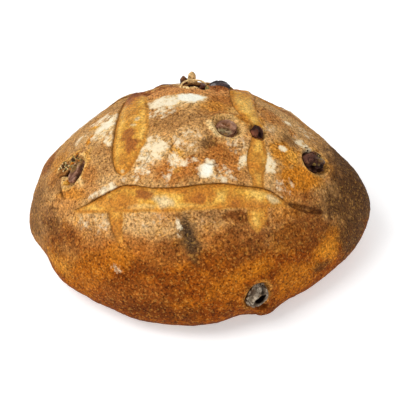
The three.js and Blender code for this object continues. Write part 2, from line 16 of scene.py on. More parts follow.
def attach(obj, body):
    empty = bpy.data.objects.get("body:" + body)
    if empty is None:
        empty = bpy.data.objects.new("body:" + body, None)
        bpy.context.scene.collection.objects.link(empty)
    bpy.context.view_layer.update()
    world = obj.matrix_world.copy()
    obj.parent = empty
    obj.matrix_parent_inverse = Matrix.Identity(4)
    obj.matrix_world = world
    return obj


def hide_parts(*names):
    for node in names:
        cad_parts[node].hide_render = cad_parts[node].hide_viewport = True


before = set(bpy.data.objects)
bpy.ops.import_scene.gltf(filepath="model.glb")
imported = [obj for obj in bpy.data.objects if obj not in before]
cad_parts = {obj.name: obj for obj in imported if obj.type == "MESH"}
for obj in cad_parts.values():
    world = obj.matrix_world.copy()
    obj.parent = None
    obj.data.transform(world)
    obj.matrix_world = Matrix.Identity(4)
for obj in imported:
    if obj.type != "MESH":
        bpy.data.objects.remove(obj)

LOG = logging.getLogger("loaf")
MM = 0.001  # one millimetre in the scene's metres
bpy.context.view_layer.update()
WHITE = (1.0, 1.0, 1.0, 1.0)
GOLDEN_TURN = math.pi * (3 - math.sqrt(5))  # spreads what is placed turn by turn evenly

Way = tuple[float, float, float]
Tint = tuple[int, int, int]
Knots = Sequence[tuple[float, float]]
Rows = Sequence[tuple[float, ...]]
Array = np.ndarray
Builder = bmesh.types.BMesh
Material = bpy.types.Material
Mesh = bpy.types.Mesh
Piece = bpy.types.Object
Socket = bpy.types.NodeSocket


class Run(Enum):
    """Which way a slash runs over the crust."""

    ALONG_LOAF = "along"
    ROUND_LOAF = "round"


class Tone(Enum):
    """Colours that crust bakes to, as seen in white light, from 0 to 255."""

    TAN = (194, 146, 88)
    GREY_TAN = (160, 114, 66)
    DUSTY = (204, 162, 108)
    RUST = (168, 98, 38)
    MAROON = (122, 62, 26)
    OCHRE = (222, 166, 72)
    STRAW = (224, 178, 106)
    AMBER = (195, 118, 25)
    CHESTNUT = (131, 62, 8)
    BURNT = (96, 46, 12)
    CHAR = (88, 56, 28)
    SOOT = (72, 52, 34)
    CREAM = (238, 208, 150)
    GOLD = (215, 156, 58)
    PALE_GOLD = (238, 192, 98)
    BROWN_GOLD = (179, 107, 32)
    RED_GOLD = (150, 82, 30)
    GREY_CREAM = (216, 190, 146)
    MOSS = (138, 126, 78)
    TOAST = (206, 142, 82)
    # colour of scorch, also used for painted shade under the lips, round the olives and in the holes
    SCORCH_AND_SHADE = (70, 34, 10)


class Layer(Enum):
    """Which skin a patch of colour lies on."""

    CRUST = "crust"
    BELLY = "belly"


class Mask(Enum):
    """Numbers on the crust's vertices that its material reads."""

    BELLY = "belly"
    FLOUR = "flour"
    # scorch, and painted shade: the dark line under each lip, the gap round each olive and the inside of the
    # holes
    SCORCH_AND_SHADE = "scorch"


class Mark(Enum):
    """Numbers on the crust's vertices that only its baking reads."""

    RIM = "pale rim of an olive's hole"
    BAKED = "baked line round a rim"
    EDGE = "edge of the dough that a slash opened"


# ------------------------------------ numbers on arrays
def smoothstep(low: float, high: float, value: Array) -> Array:
    """Rise smoothly from 0 at low to 1 at high.

    Args:
        low: Value where the rise starts.
        high: Value where the rise ends.
        value: Values to map.

    Returns:
        The mapped values, from 0 to 1.
    """
    t = np.clip((value - low) / (high - low), 0.0, 1.0)
    return t * t * (3.0 - 2.0 * t)


def bell(value: Array, middle: float, width: float) -> Array:
    """Give a bump of height 1 round the middle."""
    return np.exp(-(((value - middle) / width) ** 2))


def curve_at(knots: Knots, s: Array) -> Array:
    """Read the smooth curve through some knots, held level past its ends.

    Args:
        knots: Pairs of place along the curve and value there, in rising order.
        s: Places to read.

    Returns:
        The curve's values at the places.
    """
    place, value = (np.array(column, dtype=float) for column in zip(*knots))
    inner = (value[2:] - value[:-2]) / (place[2:] - place[:-2])
    ends = (value[1:] - value[:-1]) / (place[1:] - place[:-1])
    slope = np.concatenate([ends[:1], inner, ends[-1:]])
    at = np.clip(s, place[0], place[-1])
    i = np.clip(np.searchsorted(place, at, side="right") - 1, 0, len(place) - 2)
    step = place[i + 1] - place[i]
    t = (at - place[i]) / step
    t2, t3 = t * t, t * t * t
    return (
        (2 * t3 - 3 * t2 + 1) * value[i]
        + (t3 - 2 * t2 + t) * slope[i] * step
        + (3 * t2 - 2 * t3) * value[i + 1]
        + (t3 - t2) * slope[i + 1] * step
    )


# odd numbers that scatter the noise's cells
CELL_SCATTER = (73856093, 19349663, 83492791)
SEED_SCATTER = 26544357
LAST_SCATTER = 1274126177
SEED_STEP = 17.31  # how far apart two seeds read the noise, in cells


def lumps(points: Array, size: float, seed: int) -> Array:
    """Give smooth noise whose lumps are about one size.

    Args:
        points: Places in millimetres, one row each.
        size: Size of a lump in millimetres.
        seed: Which noise.

    Returns:
        Values from -1 to 1, one for each row.
    """
    scaled = points / size + seed * SEED_STEP
    cell = np.floor(scaled).astype(np.int64)
    part = scaled - cell
    ease = part**3 * (part * (part * 6.0 - 15.0) + 10.0)
    total = np.zeros(len(points))
    for corner in itertools.product((0, 1), repeat=3):
        key = cell + np.array(corner)
        mixed = np.bitwise_xor.reduce(key * np.array(CELL_SCATTER), axis=1) ^ seed * SEED_SCATTER
        mixed = (mixed ^ (mixed >> 13)) * LAST_SCATTER & 0x7FFFFFFF
        mixed ^= mixed >> 15
        weight = np.prod(np.where(np.array(corner) == 1, ease, 1.0 - ease), axis=1)
        total += weight * ((mixed & 0xFFFF) / 32767.5 - 1.0)
    return total


def layered_lumps(points: Array, size: float, seed: int, layers: int = 3) -> Array:
    """Add up noises, each half the size and half the height of the one before.

    Args:
        points: Places in millimetres, one row each.
        size: Size of the largest lumps in millimetres.
        seed: Which noise.
        layers: How many noises.

    Returns:
        Values from about -1 to 1, one for each row.
    """
    total = np.zeros(len(points))
    for layer in range(layers):
        total += lumps(points, size / 2**layer, seed + 7 * layer) / 2**layer
    return total / (2.0 - 2.0 ** (1 - layers))


@dataclass(frozen=True)
class Grain:
    """One kind of noise over a surface, with the size of its largest lumps in millimetres."""

    size: float
    seed: int
    layers: int = 1
    height: float = 1.0

    def at(self, points: Array) -> Array:
        """Read it at some points, given in millimetres."""
        return self.height * layered_lumps(points, self.size, self.seed, self.layers)


def unit(vectors: Array) -> Array:
    """Scale each row to length one."""
    return vectors / np.maximum(np.linalg.norm(vectors, axis=1, keepdims=True), 1e-12)


def in_light(colour: Array) -> Array:
    """Turn seen colours, from 0 to 1, into the scene's linear light."""
    return np.where(colour <= 0.04045, colour / 12.92, ((colour + 0.055) / 1.055) ** 2.4)


def seen(red: int, green: int, blue: int) -> tuple[float, float, float, float]:
    """Turn one seen colour, from 0 to 255, into the scene's linear light."""
    linear = in_light(np.array([red, green, blue]) / 255.0)
    return (float(linear[0]), float(linear[1]), float(linear[2]), 1.0)


# ------------------------------------ the dough's form
@dataclass(frozen=True)
class Swelling:
    """A swelling or flat of the dough: its azimuth, elevation and spread in degrees, its height in mm."""

    azimuth: float
    elevation: float
    spread: float
    height: float

    def at(self, directions: Array) -> Array:
        """Give its height.

        Args:
            directions: Unit directions, one row each.

        Returns:
            The height in each direction, in millimetres.
        """
        azimuth, elevation = math.radians(self.azimuth), math.radians(self.elevation)
        level = math.cos(elevation)
        middle = np.array([level * math.cos(azimuth), level * math.sin(azimuth), math.sin(elevation)])
        sharpness = 2.0 / math.radians(self.spread) ** 2
        return self.height * np.exp(sharpness * (directions @ middle - 1.0))


@dataclass(frozen=True)
class DoughForm:
    """Smooth form of the loaf: a tapered round with swellings and a flat base, in millimetres."""

    half_length: float = 118.0
    half_width: float = 106.0
    waist_height: float = 21.0
    crown_rise: float = 87.0
    foot_drop: float = 32.0
    foot_round: float = 6.0
    plan_taper: float = 0.024
    crown_taper: float = 0.055
    foot_taper: float = -0.04
    girth_radius: float = 87.0
    normal_step: float = 0.01
    seeking_steps: int = 40
    swellings: tuple[Swelling, ...] = (
        Swelling(-110, -6, 16, 2.6),
        Swelling(-52, -2, 26, -4),
        Swelling(0, 6, 16, 6),
        Swelling(180, 2, 14, 2.2),
        Swelling(172, 14, 22, -2),
        Swelling(120, 38, 22, 1.2),
        Swelling(90, 50, 22, 1.4),
        Swelling(-150, 0, 18, 1.4),
        Swelling(28, 20, 20, -2),
        Swelling(-171, -1, 8, 2.6),
        Swelling(168, 12, 6, 2.6),
        Swelling(-157, -2, 7, -2.6),
        Swelling(-142, -2, 7, 1.8),
        Swelling(-122, -5, 7, -1.4),
        Swelling(-74, -5, 6, -1.8),
        Swelling(-64, -5, 6, 2.2),
        Swelling(-5, 3, 7, 1.8),
        Swelling(15, 15, 7, -2.4),
        Swelling(35, 33, 8, 1.6),
        Swelling(131, 37, 7, 1.6),
    )

    def points(self, directions: Array) -> Array:
        """Find the form's points.

        Args:
            directions: Unit directions, one row each.

        Returns:
            The points, before the base cuts them flat.
        """
        upper = directions[:, 2] > 0
        rise = np.where(upper, self.crown_rise, self.foot_drop)
        plan = np.tile([self.half_length, self.half_width], (len(rise), 1))
        scaled = directions / np.column_stack([plan, rise])
        length = np.linalg.norm(scaled, axis=1)
        x2, y2, z2 = ((scaled / length[:, None]) ** 2).T
        side_taper = np.where(upper, self.crown_taper, self.foot_taper)
        radius = (1 - 4 * self.plan_taper * x2 * y2 - 4 * side_taper * z2 * (x2 + y2)) / length
        for swelling in self.swellings:
            radius = radius + swelling.at(directions)
        points = directions * radius[:, None]
        points[:, 2] += self.waist_height
        return points

    def normals(self, directions: Array) -> Array:
        """Find the form's outward normals.

        Args:
            directions: Unit directions, one row each.

        Returns:
            The normal in each direction.
        """
        step = self.normal_step
        side = np.cross((0.0, 0.0, 1.0), directions)
        polar = np.linalg.norm(side, axis=1) < 0.1
        side[polar] = np.cross((1.0, 0.0, 0.0), directions[polar])
        side = unit(side)
        rise = np.cross(directions, side)
        steps = [
            self.points(unit(directions + step * axis)) - self.points(unit(directions - step * axis))
            for axis in (side, rise)
        ]
        return unit(np.cross(steps[0], steps[1]))

    def places(self, points: Array) -> tuple[Array, Array]:
        """Give each point's place on the crust: x, and the girth measured from the crown line."""
        girth = self.girth_radius * np.arctan2(-points[:, 1], points[:, 2] - self.waist_height)
        return points[:, 0], girth

    def direction_at(self, x: float, g: float) -> Array:
        """Find the direction of a place on the crust.

        Args:
            x: Place along the loaf, in millimetres.
            g: Place round the girth, in millimetres.

        Returns:
            The direction, as an array with one row.
        """
        turn = g / self.girth_radius
        low, high = -math.pi / 2, math.pi / 2
        direction = np.zeros((1, 3))
        for _ in range(self.seeking_steps):
            tilt = (low + high) / 2
            level = math.cos(tilt)
            direction = np.array([[math.sin(tilt), -level * math.sin(turn), level * math.cos(turn)]])
            if self.points(direction)[0, 0] < x:
                low = tilt
            else:
                high = tilt
        return direction

    def seat(self, x: float, g: float, turn: float = 0.0, lift: float = 0.0) -> Matrix:
        """Make the frame that seats a piece on the crust.

        Args:
            x: Place along the loaf, in millimetres.
            g: Place round the girth, in millimetres.
            turn: Turn of the piece's long way from +X towards the front, in degrees.
            lift: Height of the piece's middle over the form, in millimetres.

        Returns:
            The frame, in millimetres, with Z out of the crust.
        """
        direction = self.direction_at(x, g)
        out = Vector(self.normals(direction)[0])
        along = (Vector((1, 0, 0)) - out * out.x).normalized()
        across = out.cross(along)
        angle = -math.radians(turn)
        x_axis = along * math.cos(angle) + across * math.sin(angle)
        placed = Matrix((x_axis, out.cross(x_axis), out)).transposed().to_4x4()
        placed.translation = Vector(self.points(direction)[0]) + out * lift
        return placed

    def flatten_foot(self, points: Array) -> Array:
        """Ease the height into the flat base.

        Args:
            points: Points in millimetres, which are changed.

        Returns:
            The points.
        """
        z, r = points[:, 2], self.foot_round
        points[:, 2] = np.where(z < -r, 0.0, np.where(z < r, (z + r) ** 2 / (4 * r), z))
        return points


# ------------------------------------ features of the crust
@dataclass(frozen=True)
class Oval:
    """An oval patch on the crust: place, half sizes and the turn of its long way, in mm and degrees."""

    x: float
    g: float
    half: tuple[float, float]
    turn: float = 0.0

    def distance(self, x: Array, g: Array) -> Array:
        """Give the distance from its middle.

        Args:
            x: Places along the loaf.
            g: Places round the girth.

        Returns:
            The distances, 1 on its outline.
        """
        c, s = math.cos(math.radians(self.turn)), math.sin(math.radians(self.turn))
        dx, dg = x - self.x, g - self.g
        return np.hypot((dx * c + dg * s) / self.half[0], (dg * c - dx * s) / self.half[1])


@dataclass(frozen=True)
class Mound(Oval):
    """A blister or ridge of crust."""

    height: float = 1.0

    def relief(self, x: Array, g: Array) -> Array:
        """Give its height at some places."""
        return self.height * np.exp(-1.5 * self.distance(x, g) ** 2)


@dataclass(frozen=True)
class Hole(Oval):
    """A hole torn through the crust: its depth, its floor and mouth in parts of its size, and how dark it is
    painted inside, as painted shade, and along its edge.
    """

    depth: float = 3.0
    floor: float = 0.5
    mouth: float = 1.15
    dark: float = 0.9
    edge: float = 0.75

    def scorch(self, x: Array, g: Array) -> Array:
        """Give how dark the crust is painted inside it, as painted shade, and along its edge.

        Args:
            x: Places along the loaf.
            g: Places round the girth.

        Returns:
            The darkness at each place.
        """
        distance = self.distance(x, g)
        inside = self.dark * (1.0 - smoothstep(0.75, self.mouth, distance))
        rind = max(0.16, 0.6 / min(self.half))
        return np.maximum(inside, self.edge * min(1.0, self.dark**0.5) * bell(distance, 1.0, rind))

    def relief(self, x: Array, g: Array) -> Array:
        """Give its depth at some places, below zero."""
        return -self.depth * (1.0 - smoothstep(self.floor, self.mouth, self.distance(x, g)))


@dataclass(frozen=True)
class Patch(Oval):
    """A patch of crust that takes a colour."""

    tone: Tone = Tone.TAN
    strength: float = 1.0
    layer: Layer = Layer.CRUST
    softness: float = 0.4

    def weight(self, x: Array, g: Array, fray: Array) -> Array:
        """Give how much of its colour it lays.

        Args:
            x: Places along the loaf.
            g: Places round the girth.
            fray: How much its outline wanders there, in parts of its half sizes.

        Returns:
            The weights, from 0 to its strength.
        """
        near, far = 1.0 - self.softness, 1.0 + self.softness
        return self.strength * (1.0 - smoothstep(near, far, self.distance(x, g) + fray))


@dataclass(frozen=True)
class Crack:
    """A dark crack in the crust, along straight runs between points on the crust map."""

    points: Knots
    width: float = 0.7
    depth: float = 0.9

    def distance(self, x: Array, g: Array) -> Array:
        """Give the distance from the crack's line.

        Args:
            x: Places along the loaf.
            g: Places round the girth.

        Returns:
            The distances, in millimetres.
        """
        nearest = np.full(len(x), np.inf)
        for (x0, g0), (x1, g1) in zip(self.points, self.points[1:]):
            run = np.array([x1 - x0, g1 - g0])
            t = np.clip(((x - x0) * run[0] + (g - g0) * run[1]) / (run @ run), 0, 1)
            nearest = np.minimum(nearest, np.hypot(x - x0 - t * run[0], g - g0 - t * run[1]))
        return nearest


@dataclass(frozen=True)
class InSlash:
    """Where places lie inside a slash's two edges, its width there, and its opening from 0 to 1."""

    from_lip: Array
    from_flush: Array
    width: Array
    opening: Array


@dataclass(frozen=True)
class Slash:
    """A score that opened in the oven, between a lifted lip and an edge flush with the crust.

    Args:
        drop: How far the bare dough drops beside the lip, in millimetres.
        belly: How far the bare dough swells, in millimetres.
        lip: The lip's line, as places along the slash and across it.
        flush: The flush edge's line, in the same way.
        shade: How dark the line under the lip is painted: painted shade under the overhang, with some
            scorch.
        crusted: How far crust reaches in from the flush edge, in millimetres.
        edge: Half the width of its edges, in millimetres.
        full_belly: Width from which it has opened fully, in millimetres.
    """

    name: str
    run: Run
    lip_height: float
    drop: float
    belly: float
    lip: Knots
    flush: Knots
    overhang: float = 1.0
    shade: float = 1.0
    crusted: float = 0.0
    lip_reach: float = 6.0
    edge: float = 0.5
    full_belly: float = 13.0

    def side(self) -> float:
        """Give 1 where the flush edge lies beyond the lip, and -1 where it lies before it."""
        middle = np.array([(self.lip[0][0] + self.lip[-1][0]) / 2])
        return 1.0 if curve_at(self.flush, middle)[0] > curve_at(self.lip, middle)[0] else -1.0

    def place(self, x: Array, g: Array, ragged: Array) -> InSlash:
        """Work out where places lie in the slash.

        Args:
            x: Places along the loaf.
            g: Places round the girth.
            ragged: How far the torn edge wanders at each place, in millimetres.

        Returns:
            Where they lie.
        """
        along, across = (x, g) if self.run is Run.ALONG_LOAF else (g, x)
        lip, flush = curve_at(self.lip, along), curve_at(self.flush, along)
        start, end, reach = self.lip[0][0], self.lip[-1][0], self.lip_reach
        presence = smoothstep(start - reach, start + reach, along) * (
            1.0 - smoothstep(end - reach, end + reach, along)
        )
        width = np.abs(flush - lip)
        return InSlash(
            from_lip=(across - lip) * self.side() + ragged,
            from_flush=(flush - across) * self.side() + ragged,
            width=width,
            opening=np.clip(width / self.full_belly, 0, 1) * presence,
        )

    def relief(self, where: InSlash) -> Array:
        """Give the slash's relief.

        Args:
            where: Where the places lie.

        Returns:
            Its height at each place, in millimetres.
        """
        from_lip, opening = where.from_lip, where.opening
        lifted = self.lip_height * np.exp(np.minimum(from_lip, 0) / self.lip_reach) * np.sqrt(opening)
        across = np.clip(from_lip / np.maximum(where.width, 0.1), 0, 1)
        belly = self.belly * (4 * across * (1 - across)) ** 0.8
        inside = (belly - self.drop * np.exp(-np.maximum(from_lip, 0) / 4)) * opening
        over_lip = smoothstep(-self.edge, self.edge, from_lip)
        over_flush = smoothstep(-self.edge, self.edge, where.from_flush)
        return lifted * (1 - over_lip) * over_flush + inside * over_lip * over_flush

    def shift(self, where: InSlash) -> Array:
        """Give how far the lip hangs over the slash.

        Args:
            where: Where the places lie.

        Returns:
            How far each moves across the slash, in millimetres.
        """
        from_lip = where.from_lip
        hang = bell(from_lip, -0.7, 1.6) - 0.9 * bell(from_lip, 1.1, 0.8)
        near = smoothstep(-self.edge, self.edge, where.from_flush) * where.opening
        return self.overhang * self.side() * hang * near

    def inside(self, where: InSlash) -> Array:
        """Give 1 inside the slash and 0 outside."""
        within = smoothstep(-0.4, 0.5, where.from_lip) * smoothstep(0.02, 0.2, where.opening)
        return within * smoothstep(-0.9, 0.9, where.from_flush - self.crusted)

    def shadow(self, where: InSlash) -> Array:
        """Give the dark line under the lip: painted shade under the overhang, with some scorch."""
        line = bell(where.from_lip, 0.35, 0.75) * smoothstep(0.04, 0.25, where.opening)
        return self.shade * line * smoothstep(-1, 1, where.from_flush)


@dataclass(frozen=True)
class Hollow:
    """A hollow in an olive's skin, with the way it faces in the olive's own frame.

    Args:
        facing: The way it faces.
        depth: Its depth, in parts of the olive.
        spread: How wide it is.
        dark: How dark it is inside, as painted shade.
        lip: Height of the lip round it, in parts of the olive.
    """

    facing: Way
    depth: float
    spread: float
    dark: float = 1.0
    lip: float = 0.0


@dataclass(frozen=True)
class Cut:
    """A flat that cuts an olive: the way it faces, and how far out it lies in parts of the olive."""

    facing: Way
    reach: float


@dataclass(frozen=True)
class StainAndLight:
    """A stain on an olive, or a painted highlight or painted shade on it: the way it faces, its spread, its
    seen colour and its strength.
    """

    facing: Way
    spread: float
    colour: Tint
    strength: float = 0.8


class Look(Enum):
    """How an olive's skin has baked."""

    MAUVE = "mauve"
    MAROON = "maroon"
    DARK = "dark"
    ASH = "ash"
    GLOSSY = "glossy"


@dataclass(frozen=True)
class OliveSeat:
    """An olive's place in the crust and how it looks, in millimetres and degrees.

    Args:
        name: The olive's node.
        half: Its half sizes: long, wide and thick.
        turn: Turn of its long way from +X towards the front.
        sunk: How deep its middle lies under the form.
        rim: Height of the torn rim round it, which stands out by the rim's offset.
        bowl: Depth of the bowl inside the rim.
        paleness: How pale the rim is, from 0 to 1.
    """

    name: str
    x: float
    g: float
    half: Way
    turn: float
    sunk: float
    rim: float
    look: Look
    hollows: tuple[Hollow, ...] = ()
    cuts: tuple[Cut, ...] = ()
    stains_and_light: tuple[StainAndLight, ...] = ()
    ridges: float = 1.0
    rim_offset: float = 2.6
    rim_width: float = 2.6
    bowl: float = 1.4
    paleness: float = 1.0
    same_side: ClassVar[float] = 25.0  # how far down a point may lie to be on the olive's side
    far_off: ClassVar[float] = 99.0

    def beyond(self, form: DoughForm, points: Array) -> Array:
        """Give how far points lie beyond the olive's edge.

        Args:
            form: The dough's form.
            points: Points of the form, in millimetres.

        Returns:
            The distances in millimetres, and a long one for points on the loaf's far side.
        """
        placed = np.array(form.seat(self.x, self.g, self.turn))
        local = (points - placed[:3, 3]) @ placed[:3, :3]
        part = np.maximum(np.hypot(local[:, 0] / self.half[0], local[:, 1] / self.half[1]), 1e-6)
        reach = np.where(part < 1, min(self.half[:2]), np.hypot(local[:, 0], local[:, 1]) / part)
        return np.where(local[:, 2] > -self.same_side, (part - 1) * reach, self.far_off)

    def relief(self, beyond: Array) -> Array:
        """Give the relief of the torn rim, the bowl inside it and the gap round the olive.

        Args:
            beyond: How far places lie beyond the olive's edge, in millimetres.

        Returns:
            The height at each, in millimetres.
        """
        rim = self.rim * bell(beyond, self.rim_offset, self.rim_width)
        bowl = self.bowl * min(1.0, self.rim) * (1.0 - smoothstep(-1.0, self.rim_offset, beyond))
        gap = 1.1 * bell(beyond, -0.2, 0.8)
        return rim - bowl - gap


SLASHES: tuple[Slash, ...] = (
    Slash(
        "front", Run.ALONG_LOAF, lip_height=1.9, drop=1.5, belly=1.6,
        lip=((-81, 77), (-71, 71.3), (-61.5, 64.8), (-45.5, 57.4), (-26, 60.2), (-10, 60), (11, 57.4),
             (28, 58.2), (41, 59.7), (49.5, 63.2), (60, 72)),
        flush=((-81, 77), (-76, 78), (-54.6, 77.1), (-35.4, 76.2), (-10.4, 75.4), (14.3, 74.1),
               (39.4, 73.6), (60, 72)),
        overhang=1.3,
        shade=0.75,
    ),
    Slash(
        "left leaf", Run.ROUND_LOAF, lip_height=1.1, drop=1.6, belly=2.2,
        lip=((-47, -44), (-30, -51.9), (7, -55), (33, -54.9), (46.3, -52.2), (52, -46.5)),
        flush=((-47, -44), (-30, -35), (-17.8, -33.3), (7.4, -31.6), (24.3, -32.6), (34.3, -36.2),
               (44.6, -40.5), (52, -46.5)),
        overhang=0.8,
        shade=0.6,
    ),
    Slash(
        "left foot", Run.ROUND_LOAF, lip_height=0.4, drop=0.5, belly=0.9,
        lip=((74, -56.5), (77.7, -55.8), (88.8, -53.7), (94.7, -50), (98, -47.2)),
        flush=((74, -46), (77.6, -46.3), (88, -46.6), (94.7, -46.8), (98, -47.2)),
        overhang=0.2,
        shade=0.6,
    ),
    Slash(
        "right leaf", Run.ROUND_LOAF, lip_height=0.5, drop=0.8, belly=1.8,
        lip=((-47, 30), (-36, 22.6), (-27, 22.4), (-5, 24.7), (4, 29.5), (14, 36.5), (24.7, 34.8),
             (38.9, 31.9), (47.7, 32.4), (55, 34.6), (66, 32)),
        flush=((-47, 37), (-41.7, 39.5), (-13, 40.2), (7.6, 42.4), (23.4, 42.9), (36.4, 44.9),
               (46, 43.4), (57.4, 41.6), (66, 43)),
        overhang=0.4,
        shade=0.45,
    ),
    Slash(
        "right foot", Run.ROUND_LOAF, lip_height=0.3, drop=0.4, belly=1.0,
        lip=((70, 31.5), (74.4, 31.2), (82, 32), (90, 38)),
        flush=((70, 44.5), (74.2, 44.6), (82, 44.2), (90, 38)),
        overhang=0.2,
        shade=0.2,
    ),
    Slash(
        "back", Run.ALONG_LOAF, lip_height=1.6, drop=1.6, belly=1.4,
        lip=((-66, -63), (-56, -60), (-44, -55), (-33, -51), (-22, -48.5), (-5, -47.5), (9, -47),
             (26, -48), (44, -53), (58, -60)),
        flush=((-66, -63), (-56, -55), (-44, -45), (-33, -36), (-22, -29), (-5, -26.5), (9, -29),
               (26, -36.5), (44, -46), (58, -60)),
        crusted=12.0,
    ),
)

